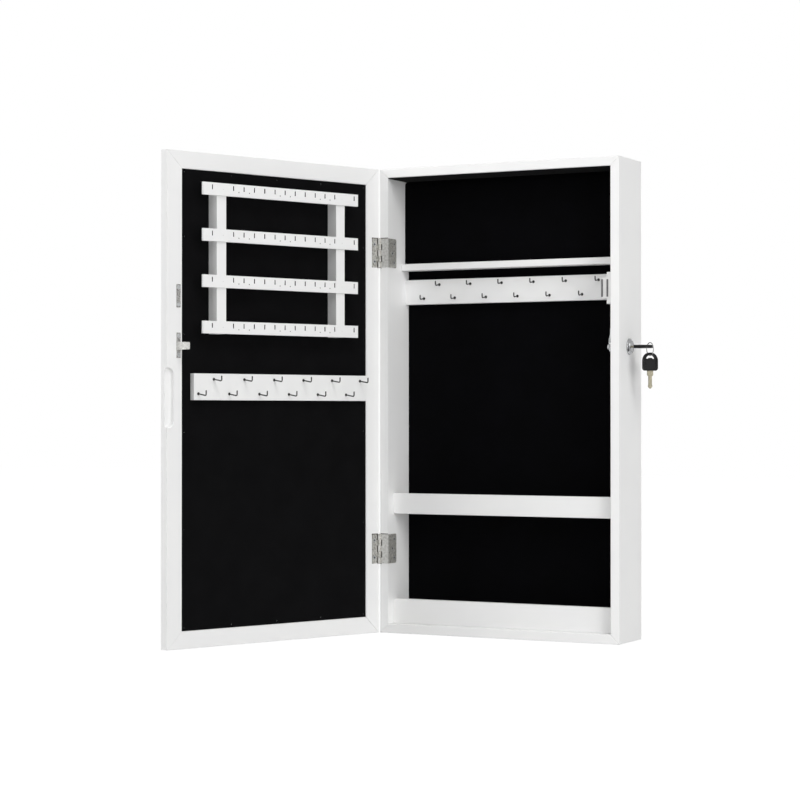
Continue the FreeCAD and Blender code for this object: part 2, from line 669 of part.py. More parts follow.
group("hanger_screws", screw_form, hanger_screw_places())
group("cabinet_hinge_screws", screw_form, wrap_screw_places())
group("catch_screws", screw_form, catch_screw_places())
group("door_hinge_screws", screw_form, door_leaf_screw_places(), FRAME_DOOR)
group("strike_screws", screw_form, strike_screw_places(), FRAME_DOOR)


def hook_form(label, reach):
    """A cup hook: threaded root, collar, a shank that droops a little and an upright tip.

    Its own X points out of the rail and its own Y points up.
    """
    piece = Piece(label, frame=Placement(), hand_over=False)
    droop = math.radians(mm("hook_droop"))
    bend = mm("hook_bend")
    across = mm(reach)
    trim = bend * math.tan((math.pi / 2 + droop) / 2)
    elbow = Vector(across, -across * math.tan(droop), 0)
    shank_end = elbow - Vector(math.cos(droop), -math.sin(droop), 0) * trim
    tip_start = elbow + Vector(0, trim, 0)
    centre = Vector(across - bend, tip_start.y, 0)
    path = piece.body.newObject("Sketcher::SketchObject", "hook_path")
    path.AttachmentSupport = (piece.plane("XY_Plane"), [""])
    path.MapMode = "FlatFace"
    path.addGeometry(Part.LineSegment(Vector(0, 0, 0), shank_end))
    circle = Part.Circle(centre, Vector(0, 0, 1), bend)
    path.addGeometry(Part.ArcOfCircle(circle, -math.pi / 2 - droop, 0))
    path.addGeometry(Part.LineSegment(tip_start, Vector(across, mm("hook_tip_rise"), 0)))
    path.addConstraint(Sketcher.Constraint("Coincident", 0, 1, -1, 1))
    path.addConstraint(Sketcher.Constraint("Tangent", 0, 2, 1, 1))
    path.addConstraint(Sketcher.Constraint("Tangent", 1, 2, 2, 1))
    path.addConstraint(Sketcher.Constraint("Vertical", 2))
    sized = [
        (Sketcher.Constraint("Radius", 1, bend), "hook_bend"),
        (Sketcher.Constraint("DistanceX", -1, 1, 2, 2, across), reach),
        (Sketcher.Constraint("DistanceY", -1, 1, 2, 2, mm("hook_tip_rise")), "hook_tip_rise"),
    ]
    for rule, formula in sized:
        number = path.addConstraint(rule)
        path.setExpression(f"Constraints[{number}]", bound(formula))
    number = path.addConstraint(Sketcher.Constraint("Angle", 0, -droop))
    path.setExpression(f"Constraints[{number}]", bound("(0 - hook_droop) * 1 deg"))
    section = piece.body.newObject("Sketcher::SketchObject", "wire_section")
    section.AttachmentSupport = (piece.plane("YZ_Plane"), [""])
    section.MapMode = "FlatFace"
    section.addGeometry(Part.Circle(Vector(0, 0, 0), Vector(0, 0, 1), mm("hook_wire / 2")))
    section.addConstraint(Sketcher.Constraint("Coincident", 0, 3, -1, 1))
    number = section.addConstraint(Sketcher.Constraint("Radius", 0, mm("hook_wire / 2")))
    section.setExpression(f"Constraints[{number}]", bound("hook_wire / 2"))
    pipe = piece.body.newObject("PartDesign::AdditivePipe", "wire")
    pipe.Profile = section
    pipe.Spine = (path, ["Edge1", "Edge2", "Edge3"])
    piece.add("cone", ("hook_collar / 2", "hook_wire / 2", "hook_collar_deep"), Placement(Vector(), TO_RIGHT))
    root = Placement(spot("0 - hook_root", "0", "0"), TO_RIGHT)
    piece.add("cylinder", ("hook_root_wire / 2", "hook_root + hook_collar_deep / 2", "360"), root)
    return piece


def hook_rows(start, length, margin_start, margin_end, lower_first):
    """Twelve hooks in two rows, half a pitch apart: the X of each and its height on the rail."""
    pitch = f"(({length} - {margin_start} - {margin_end}) / 5.5)"
    heights = ["hook_row_low", "(hook_row_low + hook_row_rise)"]
    if not lower_first:
        heights.reverse()
    return [
        (f"{start} + {margin_start} + {step / 2} * {pitch}", heights[step % 2]) for step in range(12)
    ]


def hook_rail(label, corner, sizes, hooks, outward, frame=FRAME_CARCASS):
    """A rail with the bores for its hooks, which leave it along Y; returns the places of the hooks."""
    rail = board(label, corner, sizes, frame)
    face = f"{corner[1]} + rail_thick" if outward > 0 else corner[1]
    turn = Rotation(Vector(0, outward, 0), Vector(0, 0, 1), Vector(outward, 0, 0), "XYZ")
    bore = Placement(spot("0 - hook_root", "0", "0"), TO_RIGHT)
    places = [at(x, face, f"{corner[2]} + {rise}", turn) for x, rise in hooks]
    for place in places:
        rail.cut("cylinder", ("hook_root_wire / 2", "hook_root", "360"), place * bore)
    return places


group(
    "cabinet_hooks",
    hook_form("cabinet_hook_form", "cabinet_hook_reach"),
    hook_rail(
        "cabinet_hook_rail",
        ("panel_thick", "inner_deep - rail_thick", CABINET_RAIL_Z),
        (INNER_WIDE, "rail_thick", "hook_rail_tall"),
        hook_rows("panel_thick", INNER_WIDE, "cabinet_hook_start", "cabinet_hook_end", True),
        -1,
    ),
)
group(
    "door_hooks",
    hook_form("door_hook_form", "door_hook_reach"),
    hook_rail(
        "door_hook_rail",
        ("door_rail_margin_hinge", LINING_FACE, DOOR_RAIL_Z),
        (DOOR_RAIL_LONG, "rail_thick", "hook_rail_tall"),
        hook_rows("door_rail_margin_hinge", DOOR_RAIL_LONG, "door_hook_start", "door_hook_end", False),
        1,
        FRAME_DOOR,
    ),
    FRAME_DOOR,
)

# door frame, mirror and lining -----------------------------------------------------------------


def door_member(label, x, z, direction, inward, length):
    """A mitred member of the door frame: its length runs along direction, its width inward."""
    turn = Rotation(direction, inward, Vector(0, 1, 0), "XYZ")
    member = Piece(label, at(x, DOOR_FRONT, z, turn), FRAME_DOOR)
    steps = [
        ("frame_wide", DOOR_THICK),
        ("(frame_wide + ledge_wide)", "lip_thick + mirror_thick"),
        (MEMBER_WIDE, "lip_thick"),
    ]
    for wide, thick in steps:
        member.pad([("0", "0"), (length, "0"), (f"{length} - {wide}", wide), (wide, wide)], thick)
    return member


X_AXIS = Vector(1, 0, 0)
Z_AXIS = Vector(0, 0, 1)
hinge_stile = door_member("door_stile_hinge", "0", "0", Z_AXIS, X_AXIS, "cabinet_height")
free_stile = door_member(
    "door_stile_free", "cabinet_width", "cabinet_height", -Z_AXIS, -X_AXIS, "cabinet_height"
)
door_member("door_rail_top", "0", "cabinet_height", X_AXIS, -Z_AXIS, "cabinet_width")
door_member("door_rail_bottom", "cabinet_width", "0", -X_AXIS, Z_AXIS, "cabinet_width")

for hinge_middle in HINGE_Z:
    hinge_stile.cut(
        "box",
        ("door_leaf_wide", "mortise_deep", "hinge_tall + mortise_over"),
        at("0", f"{DOOR_FACE} - mortise_deep", f"{hinge_middle} - hinge_tall / 2"),
    )
knuckle_relief(hinge_stile)
for screw in door_leaf_screw_places():
    hinge_stile.seat(screw)

free_stile.cut(
    "box",
    ("pull_wide", "pull_deep", "pull_tall"),
    at("cabinet_width - pull_wide", f"{DOOR_FACE} - pull_deep", "pull_z"),
)
pull_ends = (mm("cabinet_height - pull_z"), mm("cabinet_height - pull_z - pull_tall"))
pull_floor = mm(f"{DOOR_THICK} - pull_deep")
free_stile.round_edges(
    "min(pull_corner_r; pull_wide * 0.85)", corner_edge(2, x=pull_ends, y=(mm("pull_wide"),))
)


def pull_foot(edge):
    """The line where the wall of the finger pull meets its floor."""
    box = edge.BoundBox
    level = abs(box.ZMin - pull_floor) < 1e-4 and abs(box.ZMax - pull_floor) < 1e-4
    inside = pull_ends[1] - 1e-4 < box.XMin and box.XMax < pull_ends[0] + 1e-4
    return level and inside and 1e-3 < box.YMax < mm("pull_wide") + 1e-4


free_stile.round_edges("min(pull_cove_r; pull_deep * 0.6)", pull_foot)
for screw in strike_screw_places():
    free_stile.seat(screw)

mirror_edge = "(frame_wide + ledge_wide + mirror_play)"
door_board_edge = "(frame_wide + board_gap)"


def door_sheet(label, edge, front, thick):
    """A sheet inside the door frame, set in from the door's outline by its edge."""
    sizes = (f"cabinet_width - 2 * {edge}", thick, f"cabinet_height - 2 * {edge}")
    return board(label, (edge, front, edge), sizes, FRAME_DOOR)


door_sheet("mirror_glass", mirror_edge, f"{DOOR_FRONT} + lip_thick", "mirror_thick")
door_sheet("backing_board", door_board_edge, f"{LINING_FACE} - lining_thick - backing_thick", "backing_thick")
door_sheet("door_lining", door_board_edge, f"{LINING_FACE} - lining_thick", "lining_thick")

brad_form = Piece("brad_form", frame=Placement(), hand_over=False)
brad_form.add("cylinder", ("brad_r", "brad_long", "360"))


def steps_between(first, last, pitch):
    """Heights or widths from first to before last, one pitch apart."""
    return [first + step * pitch for step in range(round((last - first) / pitch))]


brad_edge = mm("frame_wide + brad_inset")
brad_right = mm("cabinet_width") - brad_edge
brad_top = mm("cabinet_height") - brad_edge
brad_x = steps_between(brad_edge, brad_right, mm("brad_pitch_x")) + [brad_right]
brad_z = steps_between(brad_edge, brad_top, mm("brad_pitch_z"))[1:]
brad_spots = [(x, z) for x in brad_x for z in (brad_edge, brad_top)]
brad_spots += [(x, z) for x in (brad_edge, brad_right) for z in brad_z]
group(
    "lining_brads",
    brad_form,
    [Placement(Vector(x, mm(LINING_FACE), z), TO_FRONT) for x, z in brad_spots],
    FRAME_DOOR,
)

# earring rack --------------------------------------------------------------------------------

bar_heights = [f"({LOW_BAR_Z} + {step} * bar_pitch)" for step in range(4)]
post_middles = {
    "hinge": "(rack_margin_hinge + post_inset_hinge)",
    "free": "(cabinet_width - rack_margin_free - post_inset_free)",
}
for side_name, middle in post_middles.items():
    board(
        f"rack_post_{side_name}",
        (f"{middle} - post_wide / 2", LINING_FACE, LOW_BAR_Z),
        ("post_wide", "post_deep", "3 * bar_pitch + bar_tall"),
        FRAME_DOOR,
    )

for number, height in enumerate(bar_heights, start=1):
    bar = board(
        f"earring_bar_{number}", ("rack_margin_hinge", BAR_BACK, height), (BAR_LONG, "bar_thick", "bar_tall"),
        FRAME_DOOR,
    )
    slot_foot = f"{height} + bar_tall - slot_drop - slot_tall"
    for first, count in ((0, 1), (2, 11), (14, 1)):
        slot_x = f"rack_margin_hinge + slot_end + {first} * {SLOT_PITCH} - slot_wide / 2"
        slot = bar.cut("box", ("slot_wide", "bar_thick", "slot_tall"), at(slot_x, BAR_BACK, slot_foot))
        if count > 1:
            bar.repeat(slot, "X_Axis", SLOT_PITCH, count)
    for step in (2.5, 3.5, 6.5, 7.5, 10.5, 11.5):
        hole_x = f"rack_margin_hinge + slot_end + {step} * {SLOT_PITCH}"
        hole_z = f"{height} + bar_tall - stud_hole_drop"
        bar.cut("cylinder", ("stud_hole_r", "bar_thick", "360"), at(hole_x, BAR_BACK, hole_z, TO_BACK))

group(
    "rack_pins",
    brad_form,
    [
        at(middle, f"{BAR_BACK} + bar_thick", f"{height} + bar_tall / 2", TO_FRONT)
        for middle in post_middles.values()
        for height in bar_heights
    ],
    FRAME_DOOR,
)

# hinges --------------------------------------------------------------------------------------


def knuckles(leaf, low, own, bore):
    """Frees the leaf around the other leaf's knuckles, adds its own and bores them for the pin."""
    pitch = "hinge_tall / 5"
    for step in range(5):
        if step in own:
            place = at(PIVOT_X, PIVOT_Y, f"{low} + {step} * {pitch} + knuckle_gap / 2")
            leaf.add("cylinder", ("knuckle_r", f"{pitch} - knuckle_gap", "360"), place)
        else:
            place = at(PIVOT_X, PIVOT_Y, f"{low} + {step} * {pitch} - knuckle_gap / 2")
            leaf.cut("cylinder", ("knuckle_r + knuckle_gap", f"{pitch} + knuckle_gap", "360"), place)
    leaf.cut("cylinder", (bore, "hinge_tall", "360"), at(PIVOT_X, PIVOT_Y, low))


for side_name, middle in zip(("lower", "upper"), HINGE_Z):
    low = f"({middle} - hinge_tall / 2)"
    edge_front = "(mortise_deep - leaf_thick)"

    cabinet_leaf = Piece(f"cabinet_hinge_leaf_{side_name}", at("0", "0", low))
    cabinet_leaf.add(
        "box", (f"{wrap_face} + pivot_out", "leaf_thick", "hinge_tall"), at(PIVOT_X, edge_front, low)
    )
    cabinet_leaf.add(
        "box", ("leaf_thick", f"leaf_wrap - {edge_front}", "hinge_tall"), at("panel_thick", edge_front, low)
    )
    cabinet_leaf.round_edges(
        "leaf_corner_r", corner_edge(0, y=(mm("leaf_wrap"),), z=(0, mm("hinge_tall")))
    )
    knuckles(cabinet_leaf, low, (0, 2, 4), "hinge_pin_r")
    for screw in wrap_screw_places():
        if abs(screw.Base.z - mm(middle)) < mm("hinge_tall"):
            cabinet_leaf.seat(screw)

    door_leaf = Piece(f"door_hinge_leaf_{side_name}", at("0", f"{DOOR_FACE} - mortise_deep", low), FRAME_DOOR)
    door_leaf.add(
        "box",
        ("door_leaf_wide + pivot_out", "leaf_thick", "hinge_tall"),
        at(PIVOT_X, f"{DOOR_FACE} - mortise_deep", low),
    )
    door_leaf.round_edges(
        "leaf_corner_r", corner_edge(1, x=(mm("door_leaf_wide"),), z=(0, mm("hinge_tall")))
    )
    knuckles(door_leaf, low, (1, 3), "hinge_pin_r + hinge_play")
    for screw in door_leaf_screw_places():
        if abs(screw.Base.z - mm(middle)) < mm("hinge_tall"):
            door_leaf.seat(screw)

    pin = Piece(f"hinge_pin_{side_name}", at(PIVOT_X, PIVOT_Y, low))
    pin.add("cylinder", ("hinge_pin_r", "hinge_tall", "360"), at(PIVOT_X, PIVOT_Y, low))
    pin.add(
        "cone",
        ("pin_head_r * 0.6", "pin_head_r", "pin_head_tall"),
        at(PIVOT_X, PIVOT_Y, f"{low} - pin_head_tall"),
    )
    pin.add(
        "cone",
        ("pin_head_r", "pin_head_r * 0.6", "pin_head_tall"),
        at(PIVOT_X, PIVOT_Y, f"{low} + hinge_tall"),
    )

# magnetic catch ------------------------------------------------------------------------------

pole_front = f"({DOOR_FACE} + strike_thick + strike_gap)"
pole_middles = [f"({INNER_RIGHT} - pole_from_wall)", f"({INNER_RIGHT} - pole_from_wall - pole_pitch)"]
magnet_left = f"({pole_middles[1]} + pole_thick / 2)"
magnet_front = f"({pole_front} + pole_deep - magnet_deep)"
magnet_wide = "(pole_pitch - pole_thick)"

catch = Piece("catch_body", at(INNER_RIGHT, "catch_front", "catch_z"))
catch.add(
    "box",
    ("catch_wide", "catch_deep", "catch_tall"),
    at(f"{INNER_RIGHT} - catch_wide", "catch_front", "catch_z - catch_tall / 2"),
)
catch.add(
    "box",
    ("catch_flange_thick", "catch_deep", "catch_flange_tall"),
    at(f"{INNER_RIGHT} - catch_flange_thick", "catch_front", "catch_z - catch_flange_tall / 2"),
)
half_flange = mm("catch_flange_tall / 2")
catch.round_edges("catch_corner_r", corner_edge(0, y=(0, mm("catch_deep")), z=(-half_flange, half_flange)))
catch.round_edges("catch_corner_r / 2", corner_edge(2, x=(-mm("catch_wide"),), y=(0, mm("catch_deep"))))
for middle in pole_middles:
    catch.cut(
        "box",
        ("pole_thick", f"{pole_front} + pole_deep - catch_front", "pole_tall"),
        at(f"{middle} - pole_thick / 2", "catch_front", "catch_z - pole_tall / 2"),
    )
magnet_place = (magnet_left, magnet_front, "catch_z - magnet_tall / 2")
catch.cut("box", (magnet_wide, "magnet_deep", "magnet_tall"), at(*magnet_place))
for screw in catch_screw_places():
    catch.seat(screw)

board("catch_magnet", magnet_place, (magnet_wide, "magnet_deep", "magnet_tall"))

pole_form = Piece("pole_form", frame=Placement(), hand_over=False)
pole_form.add("box", ("pole_thick", "pole_deep", "pole_tall"))
group(
    "catch_pole_plates",
    pole_form,
    [at(f"{middle} - pole_thick / 2", pole_front, "catch_z - pole_tall / 2") for middle in pole_middles],
)


def strike_plate(label, middle, tall):
    """A flat strike on the free stile, with its two screw seats."""
    plate = Piece(label, at(STRIKE_X, DOOR_FACE, f"{middle} - {tall} / 2"), FRAME_DOOR)
    plate.add(
        "box", ("strike_wide", "strike_thick", tall), at(STRIKE_X, DOOR_FACE, f"{middle} - {tall} / 2")
    )
    plate.round_edges(
        "strike_thick", corner_edge(1, x=(0, mm("strike_wide")), z=(0, mm(tall)))
    )
    for screw in strike_screw_places():
        if abs(screw.Base.z - mm(middle)) < mm(tall) / 2:
            plate.seat(screw)
    return plate


strike_plate("catch_strike", "catch_strike_z", "catch_strike_tall")
lock_strike = strike_plate("lock_strike", "lock_strike_z", "lock_strike_tall")
lock_strike.add(
    "box", ("strike_wide", "tongue_reach", "tongue_tall"), at(STRIKE_X, DOOR_FACE, TONGUE_FOOT)
)
tongue_ends = (mm(f"{TONGUE_FOOT} - lock_strike_z + lock_strike_tall / 2"),)
tongue_ends += (tongue_ends[0] + mm("tongue_tall"),)
lock_strike.round_edges("tongue_corner_r", corner_edge(0, y=(mm("tongue_reach"),), z=tongue_ends))
lock_strike.cut(
    "box",
    (
        "strike_wide - tongue_wall",
        "tongue_reach - tongue_root - tongue_end",
        "tongue_tall - tongue_floor",
    ),
    at(STRIKE_X, f"{DOOR_FACE} + tongue_root", f"{TONGUE_FOOT} + tongue_floor"),
)
lock_strike.cut(
    "box",
    (
        "tongue_field_deep",
        "tongue_reach - tongue_root - tongue_field_edge",
        "tongue_tall - 2 * tongue_field_edge",
    ),
    at(
        f"{STRIKE_X} + strike_wide - tongue_field_deep",
        f"{DOOR_FACE} + tongue_root",
        f"{TONGUE_FOOT} + tongue_field_edge",
    ),
)

# lock ----------------------------------------------------------------------------------------

lock_home = at("cabinet_width", "lock_y", "lock_z")


def on_lock(x, turn=TO_RIGHT):
    """Placement on the lock's axis, x counted out from the side panel's outer face."""
    return at(f"cabinet_width + {x}", "lock_y", "lock_z", turn)


barrel = Piece("lock_barrel", lock_home)
head_room = "(plug_head_r + 3 * plug_play)"
head_floor = "(dome_tall - plug_head_deep - 2 * plug_play)"
barrel.turn([
    (BARREL_END, "plug_r + plug_play"),
    (BARREL_END, "barrel_r"),
    ("0", "barrel_r"),
    ("0", "flange_r"),
    ("flange_thick", "flange_r"),
    ("dome_tall * 0.6", "flange_r * 0.6 + dome_face_r * 0.4"),
    ("dome_tall * 0.8", "flange_r * 0.15 + dome_face_r * 0.85"),
    ("dome_tall", "dome_face_r"),
    ("dome_tall", head_room),
    (head_floor, head_room),
    (head_floor, "plug_r + plug_play"),
])

nut = Piece("lock_nut", lock_home)
nut.add("prism", ("nut_r", "nut_thick"), on_lock("(0 - panel_thick - nut_thick)"))
nut.cut("cylinder", ("barrel_r", "nut_thick", "360"), on_lock("(0 - panel_thick - nut_thick)"))

plug = Piece("lock_plug", lock_home)
plug.add("cylinder", ("plug_r", f"dome_tall - {CAM_FRONT}", "360"), on_lock(CAM_FRONT))
plug.add("cylinder", ("plug_head_r", "plug_head_deep", "360"), on_lock("(dome_tall - plug_head_deep)"))
plug.cut(
    "box",
    ("keyway_deep", "keyway_wide", "keyway_tall"),
    at("cabinet_width + dome_tall - keyway_deep", "lock_y - keyway_wide / 2", "lock_z - keyway_tall / 2"),
)
mouth_wide = "(shoulder_wide + 2 * mouth_play)"
plug.cut(
    "box",
    ("mouth_deep", mouth_wide, "keyway_tall"),
    at("cabinet_width + dome_tall - mouth_deep", f"lock_y - {mouth_wide} / 2", "lock_z - keyway_tall / 2"),
)
plug.cut("cylinder", ("cam_screw_r", "cam_screw_long", "360"), on_lock(CAM_FRONT))

cam = Piece("lock_cam", at("cabinet_width", "lock_y - cam_offset + cam_wide", "lock_z", FRONT_VIEW))
cam.pad(
    [
        (CAM_BACK, "0"),
        (CAM_FRONT, "0"),
        (CAM_FRONT, "cam_crank_start"),
        (CAM_ARM_OUT, "cam_crank_end"),
        (CAM_ARM_OUT, "cam_long"),
        (f"{CAM_ARM_OUT} - cam_thick", "cam_long"),
        (f"{CAM_ARM_OUT} - cam_thick", "cam_crank_end + cam_thick / 2"),
        (CAM_BACK, "cam_crank_start + cam_thick / 2"),
    ],
    "cam_wide",
)
cam.add("cylinder", ("cam_hub_r", "cam_thick", "360"), on_lock(CAM_BACK))
cam.add(
    "box",
    (f"{FINGER_OUT} - {CAM_ARM_OUT}", "cam_wide", "cam_finger_wide"),
    at(
        f"cabinet_width + {CAM_ARM_OUT}",
        "lock_y - cam_offset",
        "lock_z + cam_long - cam_finger_wide",
    ),
)
cam.cut("cylinder", ("cam_screw_r", "cam_thick", "360"), on_lock(CAM_BACK))

cam_screw = Piece("cam_screw", lock_home)
cam_screw.add(
    "cylinder", ("cam_screw_r", "cam_thick + cam_screw_long", "360"), on_lock(CAM_BACK)
)
cam_screw.add(
    "cylinder",
    ("cam_screw_head_r", "cam_screw_head_tall", "360"),
    on_lock(f"({CAM_BACK} - cam_screw_head_tall)"),
)
cam_screw.cut(
    "box",
    ("cam_screw_head_tall / 2", "screw_cross_wide", "2 * cam_screw_head_r"),
    at(
        f"cabinet_width + {CAM_BACK} - cam_screw_head_tall",
        "lock_y - screw_cross_wide / 2",
        "lock_z - cam_screw_head_r",
    ),
)

# keys and their ring -------------------------------------------------------------------------

ring_turn = math.radians(mm("ring_yaw"))
ring_out = Vector(math.cos(ring_turn), -math.sin(ring_turn), 0)
ring_side = Vector(ring_out.y, -ring_out.x, 0)


def ring_hang():
    """How far out from the bow's arc centre and how low the middle of the hanging ring lies.

    The ring's inside lies on the upper inner edge of the bow's rim and its outside against the
    round middle of the bow.
    """
    inside = mm("ring_r - ring_wire_r - ring_gap")
    outside = mm("ring_r + ring_wire_r")
    half = mm("bow_thick / 2")
    drop = mm("ring_r / 2")
    for _ in range(60):
        out = mm("window_in_r + ring_gap") + math.sqrt(outside**2 - (drop - half) ** 2)
        drop = (drop + math.sqrt(inside**2 - (out - mm("window_out_r")) ** 2) - half) / 2
    return out, drop


ring_distance, ring_drop = ring_hang()
arc_centre = spot(f"cabinet_width + {ARC_X}", "lock_y", "lock_z")
ring_centre = arc_centre + ring_out * ring_distance - Z_AXIS * ring_drop
spare_arc = ring_centre - Z_AXIS * mm("ring_r - ring_wire_r - spare_gap + window_out_r")
spare_turn = Rotation(Z_AXIS, ring_side, ring_out, "XYZ")
spare_home = Placement(spare_arc, spare_turn) * Placement(-spot(ARC_X, "0", "0"), Rotation())

for label, home in (("key", lock_home), ("spare_key", spare_home)):
    tip_start = "(bow_out - blade_long + tip_long)"
    blade = Piece(f"{label}_blade", home)
    half_blade = [
        ("bow_out + blade_root", "shoulder_wide / 2"),
        ("bow_out - shoulder_long", "shoulder_wide / 2"),
        ("bow_out - shoulder_long * 4 / 3", "shank_wide / 2"),
        (tip_start, "shank_wide / 2"),
        (f"{tip_start} - tip_long * 0.27", "tip_wide / 2"),
        (f"{tip_start} - tip_long * 0.55", "tip_wide / 2"),
        ("bow_out - blade_long", "point_wide / 2"),
    ]
    other_half = [(x, f"0 - {half}") for x, half in reversed(half_blade)]
    blade.pad(half_blade + other_half, "blade_thick", midplane=True)

    arc_x = mm(ARC_X)
    bow_low = Placement(spot(ARC_X, "0", "0 - bow_thick / 2"), Rotation())
    bow = Piece(f"{label}_bow", home)
    bow.add(
        "box",
        ("bow_long - bow_wide / 2", "bow_wide", "bow_thick"),
        home * Placement(spot("bow_out", "0 - bow_wide / 2", "0 - bow_thick / 2"), Rotation()),
    )
    bow.round_edges("bow_thick", corner_edge(2, x=(mm("bow_out"),)))
    bow.add("cylinder", ("bow_wide / 2", "bow_thick", "360"), home * bow_low)
    half_window = Placement(Vector(), Rotation(Z_AXIS, -mm("window_angle") / 2))
    bow.cut("cylinder", ("window_out_r", "bow_thick", "window_angle"), home * bow_low * half_window)
    bow.add("cylinder", ("window_in_r", "bow_thick", "360"), home * bow_low)
    bow.cut(
        "box",
        ("blade_root", "shoulder_wide", "blade_thick"),
        home * Placement(spot("bow_out", "0 - shoulder_wide / 2", "0 - blade_thick / 2"), Rotation()),
    )

ring = Piece("key_ring", lock_home)
ring.add("torus", ("ring_r", "ring_wire_r"), Placement(ring_centre, Rotation(Z_AXIS, ring_side)))

# check and hand over ---------------------------------------------------------------------------

doc.recompute()
for item in doc.Objects:
    if "Invalid" in item.State or "Error" in item.State:
        raise RuntimeError(f"{item.Label}: {item.State}")
for node in nodes:
    if node.Shape.isNull() or not node.Shape.isValid():
        raise RuntimeError(f"{node.Label} has no valid shape")

os.makedirs("parts", exist_ok=True)
for node in nodes:
    node.Shape.exportStep(f"parts/{node.Label}.step")
print(len(nodes), "nodes")
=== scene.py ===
"""Looks of the jewelry mirror cabinet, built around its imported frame.

Every piece of joinery, velvet, metal and plastic is a finished piece that stands for one CAD node:
the node's shape with its arrises eased as the real one's are, or a shape of its own where the real
one is softer than the solid.  Lengths are metres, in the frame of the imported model.
"""

import json
import logging
import math
from dataclasses import dataclass, field
from enum import Enum
from typing import Callable, ClassVar, Sequence

import bmesh
import bpy
from mathutils import Matrix, Vector


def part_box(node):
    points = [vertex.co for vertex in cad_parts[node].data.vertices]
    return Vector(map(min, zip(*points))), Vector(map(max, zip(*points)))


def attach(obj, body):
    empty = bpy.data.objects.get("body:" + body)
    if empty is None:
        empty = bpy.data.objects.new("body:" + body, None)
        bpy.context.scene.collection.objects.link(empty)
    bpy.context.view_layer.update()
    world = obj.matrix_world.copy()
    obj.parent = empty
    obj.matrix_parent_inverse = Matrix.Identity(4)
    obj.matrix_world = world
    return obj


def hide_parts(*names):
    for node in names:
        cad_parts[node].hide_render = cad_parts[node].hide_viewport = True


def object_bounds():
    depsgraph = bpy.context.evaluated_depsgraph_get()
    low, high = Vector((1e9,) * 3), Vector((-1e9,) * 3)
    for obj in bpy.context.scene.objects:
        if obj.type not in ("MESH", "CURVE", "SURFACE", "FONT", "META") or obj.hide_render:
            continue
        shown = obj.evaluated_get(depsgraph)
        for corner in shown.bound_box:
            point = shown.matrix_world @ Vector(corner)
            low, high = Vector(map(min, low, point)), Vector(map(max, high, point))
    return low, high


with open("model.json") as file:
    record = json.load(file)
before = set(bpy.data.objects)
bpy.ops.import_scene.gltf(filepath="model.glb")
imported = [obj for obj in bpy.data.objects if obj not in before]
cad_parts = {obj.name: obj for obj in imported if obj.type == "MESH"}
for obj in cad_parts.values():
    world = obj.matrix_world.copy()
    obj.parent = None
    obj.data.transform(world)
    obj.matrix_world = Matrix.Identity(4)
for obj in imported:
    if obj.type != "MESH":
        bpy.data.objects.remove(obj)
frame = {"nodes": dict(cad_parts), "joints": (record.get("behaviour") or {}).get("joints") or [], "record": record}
cad_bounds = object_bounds()

log = logging.getLogger("cabinet")

Socket = bpy.types.NodeSocket
Tree = bpy.types.NodeTree
BMesh = bmesh.types.BMesh
Edge = bmesh.types.BMEdge
Reshape = Callable[[BMesh], None]
FaceTest = Callable[[Vector, Vector, float], bool]

MM = 0.001
# The part of a noise's values that most places take.
NOISE_SPAN = {"From_Min": 0.3, "From_Max": 0.7}
# Corners closer than this are one, and faces that meet flatter than this are one face.
WELD_MM = 0.002
FLAT_DEG = 0.5
# A vertex this close to a plane lies in it.
TOUCH_MM = 0.001
# Edges that turn more than this are arrises.
ARRIS_DEG = 30
# How much of a face's normal lies along a direction that it faces, and along one that it leans to.
FACING = 0.9
LEANING = 0.5
# How far a mitre's normal may stray from 45 degrees, and the least area of a mitre's face.
MITRE_SLACK = 0.05
MITRE_MM2 = 100
# How far a hinge mortise's faces reach beyond the leaf, across, in depth and up, and their largest area.
MORTISE_REACH_MM = (0.4, 0.4, 1.2)
MORTISE_MM2 = 700
NODES: dict[str, bpy.types.Object] = frame["nodes"]
BODY_OF: dict[str, str] = {
    node: body for body, members in frame["record"]["behaviour"]["bodies"].items() for node in members
}
SLOT_OF: dict[str, str] = {part["node"]: part["material_slot"] for part in frame["record"]["subparts"]}
JOINTS: dict[str, dict] = {joint["name"]: joint for joint in frame["joints"]}


def linear(code: str) -> tuple[float, float, float, float]:
    """Turns an sRGB colour into the linear one that the shaders take.

    Args:
        code: The colour as six hex digits.

    Returns:
        Linear red, green, blue and an alpha of one.
    """
    channels = [int(code[start : start + 2], 16) / 255 for start in (0, 2, 4)]
    red, green, blue = (c / 12.92 if c <= 0.04045 else ((c + 0.055) / 1.055) ** 2.4 for c in channels)
    return red, green, blue, 1.0


def add_node(
    tree: Tree, kind: str, settings: dict[str, object] | None = None, **inputs: object
) -> bpy.types.Node:
    """Adds a shader node and fills or links its inputs.

    Args:
        tree: The node tree.
        kind: The node's type name.
        settings: Properties of the node itself.
        **inputs: Input name with underscores for spaces, or its number after an underscore, to a value
            or to the socket that feeds it.

    Returns:
        The new node.
    """
    made = tree.nodes.new(kind)
    for name, value in (settings or {}).items():
        setattr(made, name, value)
    for name, value in inputs.items():
        socket = made.inputs[int(name[1:]) if name[1:].isdigit() else name.replace("_", " ")]
        if isinstance(value, Socket):
            tree.links.new(value, socket)
        else:
            socket.default_value = value
    return made


def add_noise(tree: Tree, place: Socket, size_mm: float, detail: float, **inputs: object) -> Socket:
    """Adds a noise whose patches have a given size.

    Args:
        tree: The node tree.
        place: Coordinates.
        size_mm: Size of the patches.
        detail: How much finer noise lies over them.
        **inputs: Further inputs of the noise.

    Returns:
        The socket of its value.
    """
    scale = 1 / (size_mm * MM)
    return add_node(
        tree, "ShaderNodeTexNoise", Vector=place, Scale=scale, Detail=detail, **inputs
    ).outputs["Fac"]


